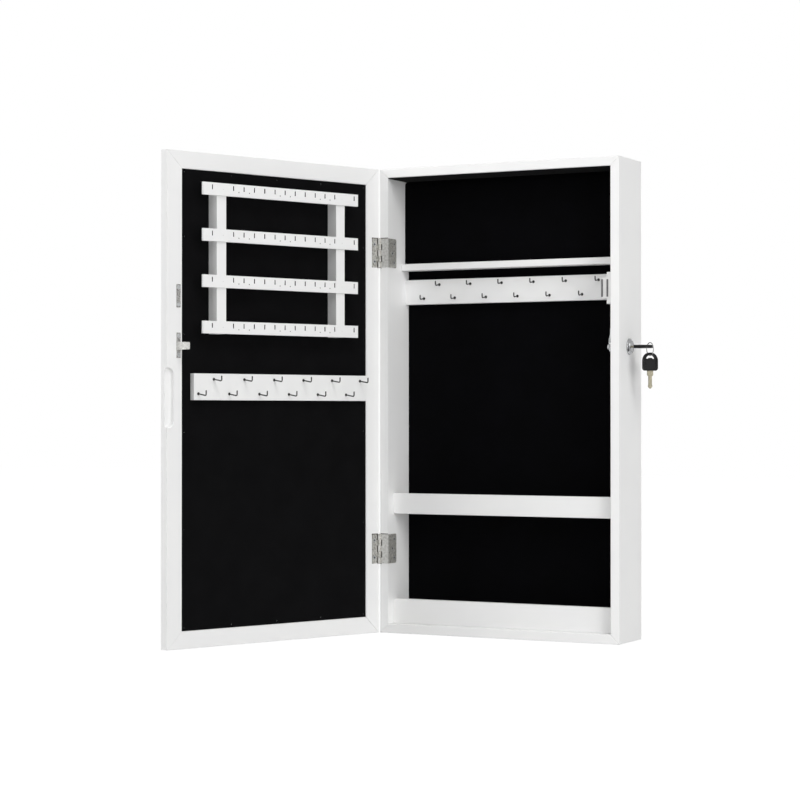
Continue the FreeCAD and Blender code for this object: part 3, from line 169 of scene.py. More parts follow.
def add_mix(
    tree: Tree, share: Socket | float, first: object, second: object, blend: str = "MIX"
) -> Socket:
    """Adds a mix of two colours.

    Args:
        tree: The node tree.
        share: How much of the second is in it.
        first: A colour or its socket.
        second: A colour or its socket.
        blend: The way they are mixed.

    Returns:
        The socket of the mixed colour.
    """
    settings = {"data_type": "RGBA", "blend_type": blend}
    return add_node(tree, "ShaderNodeMix", settings, _0=share, _6=first, _7=second).outputs[2]


class Grain(Enum):
    """How a surface's fine structure runs."""

    EVEN = (1.0, 1.0, 1.0)
    UPRIGHT = (1.0, 1.0, 0.04)


@dataclass(frozen=True)
class Finish:
    """A finish, made once as a material and then shared by its pieces.

    Attributes:
        name: The material's name.
        tone: Its colour.
        shade: The colour that its broad variation drifts to.
        drift_mm: How broad that variation is.
        roughness: Mean roughness.
        roughness_swing: How far the roughness strays to either side.
        metallic: One for clean metal, less where a dull skin or dirt lies on it.
        specular: Specular level of a non-metal.
        fine_mm: Size of the fine structure that catches the light.
        fine_height_mm: How high that structure stands.
        grain: How it runs.
    """

    name: str
    tone: str
    shade: str
    drift_mm: float = 60.0
    roughness: float = 0.4
    roughness_swing: float = 0.04
    metallic: float = 0.0
    specular: float = 0.5
    fine_mm: float = 1.2
    fine_height_mm: float = 0.01
    grain: Grain = Grain.EVEN
    made: ClassVar[dict[str, bpy.types.Material]] = {}

    def material(self) -> bpy.types.Material:
        """Returns the material, which is made at its first use."""
        if self.name not in self.made:
            self.made[self.name] = self.build()
        return self.made[self.name]

    def build(self) -> bpy.types.Material:
        """Makes the shader from this finish's values.

        Returns:
            The new material.
        """
        material = bpy.data.materials.new(self.name)
        material.use_nodes = True
        tree = material.node_tree
        shader = tree.nodes["Principled BSDF"]
        shader.inputs["Metallic"].default_value = self.metallic
        shader.inputs["Specular IOR Level"].default_value = self.specular
        place = add_node(tree, "ShaderNodeTexCoord").outputs["Object"]
        colour, rough = self.surface(tree, place)
        tree.links.new(colour, shader.inputs["Base Color"])
        tree.links.new(rough, shader.inputs["Roughness"])
        tree.links.new(self.relief(tree, place), shader.inputs["Normal"])
        self.finish_shader(tree, shader, place)
        return material

    def surface(self, tree: Tree, place: Socket) -> tuple[Socket, Socket]:
        """Colour and roughness, both drifting slowly over the surface.

        Args:
            tree: The material's nodes.
            place: Object coordinates.

        Returns:
            The sockets of colour and roughness.
        """
        drift = add_noise(tree, place, self.drift_mm, 3.0)
        share = add_node(tree, "ShaderNodeMapRange", Value=drift, **NOISE_SPAN).outputs["Result"]
        colour = add_mix(tree, share, linear(self.tone), linear(self.shade))
        rough = add_node(
            tree,
            "ShaderNodeMapRange",
            Value=drift,
            To_Min=self.roughness - self.roughness_swing,
            To_Max=self.roughness + self.roughness_swing,
            **NOISE_SPAN,
        )
        return colour, rough.outputs["Result"]

    def relief(self, tree: Tree, place: Socket) -> Socket:
        """The fine structure as a bump.

        Args:
            tree: The material's nodes.
            place: Object coordinates.

        Returns:
            The socket of the shading normal.
        """
        stretched = add_node(tree, "ShaderNodeMapping", Vector=place, Scale=self.grain.value)
        fine = add_noise(tree, stretched.outputs["Vector"], self.fine_mm, 2.0)
        return add_node(
            tree, "ShaderNodeBump", Strength=1.0, Distance=self.fine_height_mm * MM, Height=fine
        ).outputs["Normal"]

    def finish_shader(self, tree: Tree, shader: bpy.types.Node, place: Socket) -> None:
        """Room for what only some finishes have.

        Args:
            tree: The material's nodes.
            shader: The principled shader.
            place: Object coordinates.
        """


@dataclass(frozen=True)
class Velvet(Finish):
    """Short pile velvet: it swallows light, and only its fibre tips show when seen at a slant.

    Attributes:
        sheen: How strongly the fibre tips show.
        sheen_roughness: How wide their light spreads.
        pile_mm: Size of the pile's speckle.
        speckle: Darkest and lightest speckle, as shares of the nap's colour.
    """

    sheen: float = 0.05
    sheen_roughness: float = 0.4
    pile_mm: float = 0.5
    speckle: tuple[float, float] = (0.6, 1.5)

    def surface(self, tree: Tree, place: Socket) -> tuple[Socket, Socket]:
        """Nap that lies this way and that, with the pile's own speckle over it.

        Args:
            tree: The material's nodes.
            place: Object coordinates.

        Returns:
            The sockets of colour and roughness.
        """
        nap, rough = super().surface(tree, place)
        pile = add_noise(tree, place, self.pile_mm, 1.0)
        dark, light = self.speckle
        speckle = add_node(
            tree, "ShaderNodeMapRange", Value=pile, From_Min=0.3, From_Max=0.75, To_Min=dark, To_Max=light
        )
        return add_mix(tree, 1.0, nap, speckle.outputs["Result"], "MULTIPLY"), rough

    def finish_shader(self, tree: Tree, shader: bpy.types.Node, place: Socket) -> None:
        """Gives the pile its sheen.

        Args:
            tree: The material's nodes.
            shader: The principled shader.
            place: Object coordinates.
        """
        shader.inputs["Sheen Weight"].default_value = self.sheen
        shader.inputs["Sheen Roughness"].default_value = self.sheen_roughness


@dataclass(frozen=True)
class Hardboard(Finish):
    """Pressed fibre: short dark fibres lie every way in a paler brown.

    Attributes:
        fibre: Colour of the fibres.
        fibre_mm: Their size.
    """

    fibre: str = "5f4630"
    fibre_mm: float = 2.5

    def surface(self, tree: Tree, place: Socket) -> tuple[Socket, Socket]:
        """The board's brown with its fibres.

        Args:
            tree: The material's nodes.
            place: Object coordinates.

        Returns:
            The sockets of colour and roughness.
        """
        board, rough = super().surface(tree, place)
        fibres = add_noise(tree, place, self.fibre_mm, 6.0, Roughness=0.7)
        share = add_node(tree, "ShaderNodeMapRange", Value=fibres, From_Min=0.48, From_Max=0.62)
        return add_mix(tree, share.outputs["Result"], board, linear(self.fibre)), rough


# Sprayed lacquer on fibreboard: a slight orange peel and a satin gloss.
LACQUER = Finish(
    "satin_lacquer_on_fibreboard", "f1f1f0", "eeeeee", 90.0, 0.4, 0.05, 0.0, 0.3, 1.6, 0.006
)
# Where a saw or drill went through the lacquered part, and in the hinge mortises: brown, matt bare fibre, made
# much darker than bare board as painted shade down in the narrow cuts.
BARE_BOARD_WITH_PAINTED_SHADE = Finish(
    "bare_fibreboard_with_painted_shade", "2e2620", "261f1a", 6.0, 0.85, 0.05, 0.0, 0.2, 0.4, 0.05
)
# Cut pile on card: deep black, with only the tips of the fibres showing.
VELVET = Velvet("short_black_velvet", "0b0b0c", "0f0f10", 35.0, 0.95, 0.02, 0.0, 0.03, 0.45, 0.12)
# The same cloth made darker as painted shade, for the linings deep in the case.
VELVET_WITH_PAINTED_SHADE = Velvet(
    "short_black_velvet_with_painted_shade", "060607", "08080a", 35.0, 0.95, 0.02, 0.0, 0.02, 0.45, 0.12,
    sheen=0.02,
)
# Brown fibres pressed smooth, for the boards that are only seen from behind.
HARDBOARD = Hardboard("pressed_hardboard", "8b6a49", "7c5c3d", 30.0, 0.8, 0.05, 0.0, 0.3, 1.5, 0.05)
# Silvered glass: nearly all light comes back, a trace greener.
MIRROR = Finish("silvered_mirror_glass", "e4ecea", "e6eeec", 300.0, 0.015, 0.005, 1.0, 0.5, 80.0, 0.002)
# Rolled steel strip under bright nickel: fine rolling lines run up and down the leaf.
NICKEL = Finish(
    "nickel_plated_rolled_steel", "cccbc6", "85837d", 2.6, 0.45, 0.12, 0.4, 0.5, 0.9, 0.03, Grain.UPRIGHT
)
# The same plating made lighter as a painted highlight: the lock strike's tongue and the leaves' strips on the
# case's front.
NICKEL_WITH_PAINTED_HIGHLIGHT = Finish(
    "nickel_plating_with_painted_highlight", "e2e2df", "bebdb9", 2.5, 0.38, 0.08, 0.35, 0.5, 0.9, 0.015, Grain.UPRIGHT
)
# Painted shade down in a screw's cross recess.
RECESS_BLACK = Finish("dark_screw_recess", "151412", "0f0e0d", 2.0, 0.7, 0.05, 0.2, 0.3, 0.5, 0.01)
# Sheared and ground ends of the knuckles, and edges facing the pin: oxidised, and darker still as painted shade of
# the gaps between the knuckles, so they read as dark lines.
OXIDE_AND_PAINTED_GAP_SHADE = Finish("oxidised_steel_with_painted_gap_shade", "38362f", "282620", 3.0, 0.6, 0.08, 0.6, 0.5, 0.6, 0.02)
# Drawn plated wire, its colour darkened as a painted reflection of a dark room: smooth, and dark against the white
# rails save for its highlights.
WIRE = Finish("plated_wire_with_painted_dark_reflection", "484847", "3a3a39", 5.0, 0.22, 0.05, 1.0, 0.5, 0.6, 0.004)
# Bright steel wire of the key ring, polished by handling.
RING_WIRE = Finish("polished_steel_wire", "969695", "7c7c7b", 6.0, 0.14, 0.04, 1.0, 0.5, 0.8, 0.003)
# Clear passivated zinc: a cold grey with cloudy patches.
ZINC = Finish("clear_zinc_plated_steel", "c6c7c8", "a2a4a6", 2.5, 0.36, 0.08, 0.5, 0.5, 0.8, 0.012)
# Pressed nickel-plated strike plates, mottled with dark and light patches side by side that are painted
# reflections.
STRIKE_STEEL = Finish(
    "nickel_plated_strike_with_painted_reflections", "c4c3c0", "4a4947", 2.0, 0.34, 0.12, 0.45, 0.5, 1.4, 0.08
)
# Ground steel of the pole plates, grey with upright grinding lines.
POLE_STEEL = Finish(
    "ground_pole_steel", "626263", "4e4e4f", 6.0, 0.45, 0.06, 0.6, 0.5, 0.7, 0.01, Grain.UPRIGHT
)
# Injection moulded white plastic, a touch greyer and smoother than the lacquer.
ABS = Finish("moulded_white_abs", "dbdbda", "d4d4d3", 20.0, 0.32, 0.04, 0.0, 0.5, 0.8, 0.008)
# Pressed ceramic magnet: charcoal and matt.
FERRITE = Finish("sintered_ferrite", "2b2b2c", "242425", 5.0, 0.6, 0.06, 0.0, 0.4, 0.5, 0.03)
# Buffed casting under chrome: nearly a mirror, with the faint waves of the buffing wheel, and its colour made
# darker than bare chrome as a painted reflection of a darker room.
CHROME = Finish(
    "polished_chrome_on_zinc_casting", "a2a3a4", "868789", 4.0, 0.12, 0.04, 1.0, 0.5, 2.0, 0.004
)
# Warm grey blade metal with the mill's fine lines.
NICKEL_SILVER = Finish(
    "milled_nickel_silver", "bab49f", "777161", 1.6, 0.3, 0.08, 0.7, 0.5, 0.5, 0.015, Grain.UPRIGHT
)
# Moulded soft black plastic with a fine spark-eroded skin.
KEY_PLASTIC = Finish(
    "moulded_black_polypropylene", "0a0a0c", "070709", 8.0, 0.42, 0.05, 0.0, 0.2, 0.5, 0.02
)

FINISH_OF_SLOT = {
    "white_lacquer": LACQUER,
    "black_velvet": VELVET,
    "hardboard": HARDBOARD,
    "mirror": MIRROR,
    "nickel_steel": NICKEL,
    "plated_wire": WIRE,
    "zinc_steel": ZINC,
    "white_plastic": ABS,
    "ferrite": FERRITE,
    "chrome_lock": CHROME,
    "nickel_silver": NICKEL_SILVER,
    "black_plastic": KEY_PLASTIC,
}


def to_object(mesh: BMesh, name: str, finish: Finish, smooth_over: float = 35.0) -> bpy.types.Object:
    """Turns a finished bmesh into a dressed object at the origin.

    Args:
        mesh: The shape, freed here.
        name: The piece's name.
        finish: Its finish.
        smooth_over: Edges flatter than this many degrees are shaded smooth.

    Returns:
        The new object.
    """
    for face in mesh.faces:
        face.smooth = True
    for edge in mesh.edges:
        if len(edge.link_faces) == 2:
            edge.smooth = edge.calc_face_angle(0.0) < math.radians(smooth_over)
    data = bpy.data.meshes.new(name)
    mesh.to_mesh(data)
    mesh.free()
    data.materials.append(finish.material())
    made = bpy.data.objects.new(name, data)
    bpy.context.scene.collection.objects.link(made)
    return made


def stand_for(piece: bpy.types.Object, node: str) -> None:
    """Makes a piece ride on its node's body and take the node's place.

    Args:
        piece: The finished piece.
        node: The node that it stands for.
    """
    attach(piece, BODY_OF[node])
    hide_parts(node)
    log.info("%s stands for %s on %s", piece.name, node, BODY_OF[node])


def closed_turn(node: str) -> Matrix:
    """The turn that lays a node's directions along the axes of the closed cabinet.

    Args:
        node: The node's name.

    Returns:
        A rotation, which is none except on the door.
    """
    angle = JOINTS["door_hinge"]["range_deg"][1] if BODY_OF[node] == "door" else 0.0
    return Matrix.Rotation(math.radians(angle), 3, "Z")


def merged_copy(node: str) -> BMesh:
    """A node's shape as a clean mesh: its triangles joined and its flat faces made whole.

    Args:
        node: The node's name.

    Returns:
        A new bmesh, which the caller frees.
    """
    mesh = bmesh.new()
    mesh.from_mesh(NODES[node].data)
    bmesh.ops.remove_doubles(mesh, verts=mesh.verts, dist=WELD_MM * MM)
    bmesh.ops.dissolve_limit(
        mesh,
        angle_limit=math.radians(FLAT_DEG),
        verts=mesh.verts,
        edges=mesh.edges,
        use_dissolve_boundaries=False,
    )
    return mesh


@dataclass(frozen=True)
class Easing:
    """How the arrises of a piece are eased.

    Attributes:
        width_mm: Width of the rounding on a free arris.
        segments: Strips across the rounding.
        shortest_mm: Edges shorter than this keep their own shape.
        mitre_share: Width at a mitre joint as a share of the free arris.
    """

    width_mm: float
    segments: int = 3
    shortest_mm: float = 4.0
    mitre_share: float = 0.45

    def apply(self, mesh: BMesh, piece_turn: Matrix) -> None:
        """Marks the edges to ease with their weights.

        Args:
            mesh: The clean shape.
            piece_turn: Rotation to the axes of the closed cabinet.
        """
        layer = mesh.edges.layers.float.new("bevel_weight_edge")
        for edge in mesh.edges:
            if len(edge.link_faces) != 2 or edge.calc_face_angle(0.0) < math.radians(ARRIS_DEG):
                continue
            if edge.calc_length() < self.shortest_mm * MM:
                continue
            mitred = any(is_mitre(face, piece_turn) for face in edge.link_faces)
            edge[layer] = self.mitre_share if mitred else 1.0

    def add_modifiers(self, piece: bpy.types.Object) -> None:
        """Rounds the marked edges and keeps the flat faces flat.

        Args:
            piece: The piece to finish.
        """
        rounding = piece.modifiers.new("eased_arrises", "BEVEL")
        rounding.limit_method = "WEIGHT"
        rounding.width = self.width_mm * MM
        rounding.segments = self.segments
        rounding.use_clamp_overlap = True
        weighted = piece.modifiers.new("flat_faces", "WEIGHTED_NORMAL")
        weighted.keep_sharp = True


def is_mitre(face: bmesh.types.BMFace, turn: Matrix) -> bool:
    """Tells a mitre's face, which is large and lies at 45 degrees in the cabinet's front view.

    Args:
        face: A face of a merged copy.
        turn: Rotation to the axes of the closed cabinet.

    Returns:
        True for a mitre's face.
    """
    across, depth, up = turn @ face.normal
    slanted = abs(depth) < MITRE_SLACK and abs(abs(across) - abs(up)) < MITRE_SLACK
    return slanted and face.calc_area() > MITRE_MM2 * MM * MM


def eased(
    node: str,
    easing: Easing,
    finish: Finish | None = None,
    reshape: Reshape | None = None,
) -> bpy.types.Object:
    """Makes the finished piece of a node whose shape is right but whose arrises are too sharp.

    Args:
        node: The node's name.
        easing: How its arrises are eased.
        finish: Its finish, where it isn't its slot's.
        reshape: A last change to the clean shape before it is eased.

    Returns:
        The piece, which stands for the node.
    """
    mesh = merged_copy(node)
    if reshape is not None:
        reshape(mesh)
    easing.apply(mesh, closed_turn(node))
    piece = to_object(mesh, f"{node}.finished", finish or FINISH_OF_SLOT[SLOT_OF[node]])
    easing.add_modifiers(piece)
    stand_for(piece, node)
    return piece


def dress_faces(piece: bpy.types.Object, node: str, finish: Finish, chosen: FaceTest) -> None:
    """Gives a second finish to some faces of a piece.

    Args:
        piece: The piece.
        node: The node that it stands for.
        finish: The second finish.
        chosen: Tells from a face's middle, its normal and its area whether it takes the finish; middle
            and normal are in the axes of the closed cabinet.
    """
    turn = closed_turn(node)
    piece.data.materials.append(finish.material())
    last = len(piece.data.materials) - 1
    for face in piece.data.polygons:
        if chosen(turn @ face.center, turn @ face.normal, face.area):
            face.material_index = last


def closed_box(node: str) -> tuple[Vector, Vector]:
    """A node's box in the axes of the closed cabinet.

    Args:
        node: The node's name.

    Returns:
        Its low and its high corner.
    """
    turn = closed_turn(node)
    corners = [turn @ vert.co for vert in NODES[node].data.vertices]
    return (
        Vector([min(corner[axis] for corner in corners) for axis in range(3)]),
        Vector([max(corner[axis] for corner in corners) for axis in range(3)]),
    )


def open_mitres(node: str, hairline_mm: float = 0.14) -> Reshape:
    """Makes the reshaping that leaves a hairline open at a member's mitres.

    Args:
        node: The member's node.
        hairline_mm: How far its end stands back along its length.

    Returns:
        The reshaping of the member's clean shape.
    """
    turn = closed_turn(node)
    low, high = closed_box(node)
    along = max(range(3), key=lambda axis: high[axis] - low[axis])

    def reshape(mesh: BMesh) -> None:
        """Draws the mitres at both ends back along the member.

        Args:
            mesh: The member's clean shape.
        """
        for sign in (1, -1):
            step = Vector()
            step[along] = -sign * hairline_mm * MM
            mitres = [face for face in mesh.faces if is_mitre(face, turn)]
            ends = [face for face in mitres if (turn @ face.normal)[along] * sign > 0]
            for vert in {vert for face in ends for vert in face.verts}:
                vert.co += turn.inverted() @ step

    return reshape


@dataclass
class Carcass:
    """The case: mitred panels, back board, shelves, trays and rails.

    Attributes:
        panel_easing: Rounding of the panels' arrises.
        rail_easing: Rounding of shelves and rails.
        board_easing: Rounding of loose boards.
        pad_crown_mm: How far the padded board's face swells.
        pad_edge_mm: Radius of the padded board's edges.
        pad_cuts: Cuts across each side of the padded board's mesh.
    """

    panel_easing: Easing = field(default_factory=lambda: Easing(0.9))
    rail_easing: Easing = field(default_factory=lambda: Easing(0.8))
    board_easing: Easing = field(default_factory=lambda: Easing(0.25, 2))
    pad_crown_mm: float = 1.2
    pad_edge_mm: float = 2.0
    pad_cuts: int = 23
    panels: ClassVar[tuple[str, ...]] = (
        "side_panel_left",
        "side_panel_right",
        "top_panel",
        "bottom_panel",
    )
    rails: ClassVar[tuple[str, ...]] = (
        "top_shelf",
        "middle_shelf",
        "middle_rail",
        "bottom_rail",
        "cabinet_hook_rail",
        "upper_hanging_rail",
        "lower_hanging_rail",
    )

    def build(self) -> None:
        """Makes every piece of the case."""
        for node in self.panels:
            panel = eased(node, self.panel_easing, reshape=open_mitres(node))
            if node == "side_panel_left":
                dress_mortises(panel, node)
        for node in self.rails:
            eased(node, self.rail_easing)
        eased("back_board", self.board_easing)
        # The back lining's velvet is darkened as painted shade.
        eased("back_lining", self.board_easing, VELVET_WITH_PAINTED_SHADE)
        for node in ("hanger_plate_left", "hanger_plate_right"):
            eased(node, Easing(0.2, 2, 2.0))
        self.padded_board()

    def padded_board(self) -> None:
        """The board of the top compartment: velvet drawn over foam, so its face swells a little."""
        low, high = (Vector(corner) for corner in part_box("top_pad"))
        size = high - low
        mesh = bmesh.new()
        bmesh.ops.create_cube(mesh, size=1.0)
        bmesh.ops.scale(mesh, vec=size, verts=mesh.verts)
        bmesh.ops.translate(mesh, vec=(low + high) / 2, verts=mesh.verts)
        bmesh.ops.subdivide_edges(mesh, edges=mesh.edges, cuts=self.pad_cuts, use_grid_fill=True)
        edge = self.pad_edge_mm * MM
        for vert in mesh.verts:
            if vert.co.y > high.y - TOUCH_MM * MM:
                continue
            inset_x = min(vert.co.x - low.x, high.x - vert.co.x)
            inset_z = min(vert.co.z - low.z, high.z - vert.co.z)
            swell = self.swell(inset_x / size.x) * self.swell(inset_z / size.z)
            depth = (high.y - vert.co.y) / size.y
            rim = edge * max(0.0, 1 - min(inset_x, inset_z) / edge) ** 2
            vert.co.y += depth * (self.pad_crown_mm * MM * (1 - swell) + rim)
        bmesh.ops.recalc_face_normals(mesh, faces=mesh.faces)
        # The pad's velvet is darkened as painted shade.
        piece = to_object(mesh, "top_pad.upholstered", VELVET_WITH_PAINTED_SHADE, smooth_over=60.0)
        rounding = piece.modifiers.new("soft_edges", "SUBSURF")
        rounding.levels = 1
        rounding.render_levels = 1
        stand_for(piece, "top_pad")

    @staticmethod
    def swell(share: float) -> float:
        """How full the pad is at a share of its width in from an edge, from 0 to 1."""
        return math.sin(math.pi * min(0.5, max(0.0, share))) ** 0.5


def dress_mortises(piece: bpy.types.Object, node: str) -> None:
    """Shows the bare board, darkened as painted shade, where the hinges are let into a piece.

    Args:
        piece: The piece.
        node: The node that it stands for.
    """
    owner = "door" if BODY_OF[node] == "door" else "cabinet"
    leaves = [closed_box(f"{owner}_hinge_leaf_{place}") for place in ("lower", "upper")]
    reach = [reach_mm * MM for reach_mm in MORTISE_REACH_MM]

    def cut(middle: Vector, normal: Vector, area: float) -> bool:
        """Tells a face of a mortise, which is small and lies in or close to a leaf's box.

        Args:
            middle: The face's middle.
            normal: Its normal, which doesn't matter.
            area: Its area.

        Returns:
            True for a mortise's face.
        """
        return area < MORTISE_MM2 * MM * MM and any(
            all(low[axis] - reach[axis] < middle[axis] < high[axis] + reach[axis] for axis in range(3))
            for low, high in leaves
        )

    # The mortises' faces take bare board darkened as painted shade.
    dress_faces(piece, node, BARE_BOARD_WITH_PAINTED_SHADE, cut)


@dataclass
class MirrorDoor:
    """The door: mitred frame, mirror, boards and brads, with the earring rack on its inside.

    Attributes:
        frame_easing: Rounding of the frame's arrises.
        rack_easing: Rounding of the rack's posts and bars.
        sheet_easing: Rounding of the sheets inside the frame.
        cut_margin_mm: Slots and holes lie further than this inside a bar's outline.
    """

    frame_easing: Easing = field(default_factory=lambda: Easing(0.9))
    rack_easing: Easing = field(default_factory=lambda: Easing(0.5, 3, 5.0))
    sheet_easing: Easing = field(default_factory=lambda: Easing(0.25, 2))
    cut_margin_mm: float = 0.3
    members: ClassVar[tuple[str, ...]] = (
        "door_stile_hinge",
        "door_stile_free",
        "door_rail_top",
        "door_rail_bottom",
    )

    def build(self) -> None:
        """Makes every piece of the door."""
        for node in self.members:
            member = eased(node, self.frame_easing, reshape=open_mitres(node))
            if node == "door_stile_hinge":
                dress_mortises(member, node)
        for node in ("mirror_glass", "backing_board", "door_lining"):
            eased(node, self.sheet_easing)
        for node in ("rack_post_hinge", "rack_post_free", "door_hook_rail"):
            eased(node, self.rack_easing)
        for bar in range(1, 5):
            self.earring_bar(f"earring_bar_{bar}")
        for node in ("lining_brads", "rack_pins"):
            eased(node, Easing(0.1, 2, 0.0))

    def earring_bar(self, node: str) -> None:
        """A lacquered bar whose sawn slots and drilled holes show the bare board, darkened as painted shade.

        Args:
            node: The bar's node.
        """
        low, high = closed_box(node)
        margin = self.cut_margin_mm * MM

        def cut(middle: Vector, normal: Vector, area: float) -> bool:
            """Tells a wall of a slot or hole: inside the bar's outline and not facing out of it."""
            inside = all(low[axis] + margin < middle[axis] < high[axis] - margin for axis in (0, 2))
            return inside and abs(normal.y) < LEANING

        # Walls of slots and holes take bare board darkened as painted shade.
        dress_faces(eased(node, self.rack_easing), node, BARE_BOARD_WITH_PAINTED_SHADE, cut)


@dataclass
class CupHooks:
    """Rows of cup hooks of plated wire, its colour darkened as a painted reflection, each screwed into a rail.

    Attributes:
        node: The node with the hooks.
        reach_mm: Rail to the middle of the tip.
        outward: Which way the hooks stand on the closed cabinet.
        wire_mm: Wire across.
        droop_deg: Fall of the shank.
        bend_mm: Bend radius to the wire's middle.
        tip_rise_mm: End of the tip above the root.
        root_mm: Root inside the rail.
        collar_mm: Collar across.
        collar_face_share: Width of the collar's front face as a share of its back.
        collar_thick_mm: Thickness of the collar.
        collar_edge_mm: Rounding of its edges.
        tip_share: Height of the wire's rounded tip as a share of its radius.
        sides: Faces round the wire.
        bend_steps: Rings along the bend.
        end_slack_mm: Corners this close to the wire's inner end belong to it.
    """

    node: str
    reach_mm: float
    outward: Vector
    wire_mm: float = 1.8
    droop_deg: float = 8.0
    bend_mm: float = 2.2
    tip_rise_mm: float = 4.8
    root_mm: float = 7.0
    collar_mm: float = 4.4
    collar_face_share: float = 0.72
    collar_thick_mm: float = 1.0
    collar_edge_mm: float = 0.2
    tip_share: float = 0.6
    sides: int = 16
    bend_steps: int = 10
    end_slack_mm: float = 0.01

    def build(self) -> None:
        """Makes all hooks of the node as one piece."""
        whole = bmesh.new()
        form = self.form()
        for place in self.places():
            copy = bpy.data.meshes.new("hook")
            turned = form.copy()
            bmesh.ops.transform(turned, matrix=place, verts=turned.verts)
            turned.to_mesh(copy)
            turned.free()
            whole.from_mesh(copy)
            bpy.data.meshes.remove(copy)
        form.free()
        # The wire's colour is darkened as a painted reflection.
        piece = to_object(whole, f"{self.node}.finished", WIRE, smooth_over=50.0)
        stand_for(piece, self.node)

    def places(self) -> list[Matrix]:
        """Where each hook leaves its rail.

        Returns:
            One matrix for each hook: X out of the rail and Z up.
        """
        out = closed_turn(self.node).inverted() @ self.outward
        side = Vector((0, 0, 1)).cross(out)
        turn = Matrix((out, side, Vector((0, 0, 1)))).transposed().to_4x4()
        mesh = merged_copy(self.node)
        places = []
        for island in islands(mesh):
            limit = min(vert.co.dot(out) for vert in island) + self.end_slack_mm * MM
            end = [vert.co for vert in island if vert.co.dot(out) < limit]
            centre = sum(end, Vector()) / len(end)
            places.append(Matrix.Translation(centre + out * self.root_mm * MM) @ turn)
        mesh.free()
        return places

    def form(self) -> BMesh:
        """One hook, from its root inside the rail to its rounded tip.

        Returns:
            The hook, with X out of the rail and Z up.
        """
        mesh = bmesh.new()
        radius = self.wire_mm / 2 * MM
        droop = math.radians(self.droop_deg)
        bend = self.bend_mm * MM
        reach = self.reach_mm * MM
        trim = bend * math.tan((math.pi / 2 + droop) / 2)
        elbow = Vector((reach, 0, -reach * math.tan(droop)))
        along = Vector((math.cos(droop), 0, -math.sin(droop)))
        ring = bmesh.ops.create_circle(
            mesh,
            cap_ends=True,
            radius=radius,
            segments=self.sides,
            matrix=Matrix.Translation((-self.root_mm * MM, 0, 0)) @ Matrix.Rotation(math.pi / 2, 4, "Y"),
        )["verts"]
        edges = list({edge for vert in ring for edge in vert.link_edges})
        edges = self.push(mesh, edges, Vector((self.root_mm * MM, 0, 0)))
        edges = self.push(mesh, edges, elbow - along * trim)
        centre = elbow - along * trim + Vector((math.sin(droop), 0, math.cos(droop))) * bend
        turned = bmesh.ops.spin(
            mesh,
            geom=edges,
            cent=centre,
            axis=(0, -1, 0),
            angle=math.pi / 2 + droop,
            steps=self.bend_steps,
            use_merge=False,
            use_duplicate=False,
        )["geom_last"]
        edges = [item for item in turned if isinstance(item, Edge)]
        top = max(vert.co.z for edge in edges for vert in edge.verts)
        rise = self.tip_rise_mm * MM - radius * self.tip_share - top
        edges = self.push(mesh, edges, Vector((0, 0, rise)))
        edges = self.dome(mesh, edges, radius)
        bmesh.ops.contextual_create(mesh, geom=edges)
        self.collar(mesh)
        bmesh.ops.recalc_face_normals(mesh, faces=mesh.faces)
        return mesh

    @staticmethod
    def push(mesh: BMesh, edges: Sequence[Edge], step: Vector) -> list[Edge]:
        """Extrudes a ring of edges by a step.

        Args:
            mesh: The hook.
            edges: The open ring.
            step: How far and which way.

        Returns:
            The new ring.
        """
        geometry = bmesh.ops.extrude_edge_only(mesh, edges=edges)["geom"]
        verts = [item for item in geometry if isinstance(item, bmesh.types.BMVert)]
        bmesh.ops.translate(mesh, vec=step, verts=verts)
        wanted = set(verts)
        return [
            item
            for item in geometry
            if isinstance(item, Edge) and item.verts[0] in wanted and item.verts[1] in wanted
        ]

    def dome(self, mesh: BMesh, edges: list[Edge], radius: float) -> list[Edge]:
        """Rounds the end of the wire over.

        Args:
            mesh: The hook.
            edges: The ring at the end of the wire.
            radius: Radius of the wire.

        Returns:
            The last small ring.
        """
        middle = sum((edge.verts[0].co for edge in edges), Vector()) / len(edges)
        height = 0.0
        width = 1.0
        for step in (1, 2, 3):
            angle = step / 4 * math.pi / 2
            rise = radius * self.tip_share * math.sin(angle) - height
            edges = self.push(mesh, edges, Vector((0, 0, rise)))
            height += rise
            ratio = math.cos(angle) / width
            width *= ratio
            verts = list({vert for edge in edges for vert in edge.verts})
            centre = Vector((middle.x, middle.y, 0))
            bmesh.ops.scale(
                mesh, vec=(ratio, ratio, 1.0), space=Matrix.Translation(-centre), verts=verts
            )
        return edges

    def collar(self, mesh: BMesh) -> None:
        """The pressed collar that stops the hook at the rail.

        Args:
            mesh: The hook.
        """
        disc = bmesh.ops.create_cone(
            mesh,
            cap_ends=True,
            segments=self.sides,
            radius1=self.collar_mm / 2 * MM,
            radius2=self.collar_mm / 2 * self.collar_face_share * MM,
            depth=self.collar_thick_mm * MM,
            matrix=Matrix.Translation((self.collar_thick_mm / 2 * MM, 0, 0))
            @ Matrix.Rotation(math.pi / 2, 4, "Y"),
        )["verts"]
        edges = {edge for vert in disc for edge in vert.link_edges}
        rims = [edge for edge in edges if edge.calc_face_angle(0.0) > math.radians(ARRIS_DEG)]
        bmesh.ops.bevel(
            mesh,
            geom=rims,
            offset=self.collar_edge_mm * MM,
            segments=2,
            profile=0.5,
            affect="EDGES",
            material=-1,
        )


def islands(mesh: BMesh) -> list[list[bmesh.types.BMVert]]:
    """Splits a mesh into its separate solids.

    Args:
        mesh: A merged mesh.

    Returns:
        The vertices of each solid.
    """
    left = set(mesh.verts)
    found = []
    while left:
        island = []
        queue = [left.pop()]
        while queue:
            vert = queue.pop()
            island.append(vert)
            for edge in vert.link_edges:
                other = edge.other_vert(vert)
                if other in left:
                    left.remove(other)
                    queue.append(other)
        found.append(island)
    return found


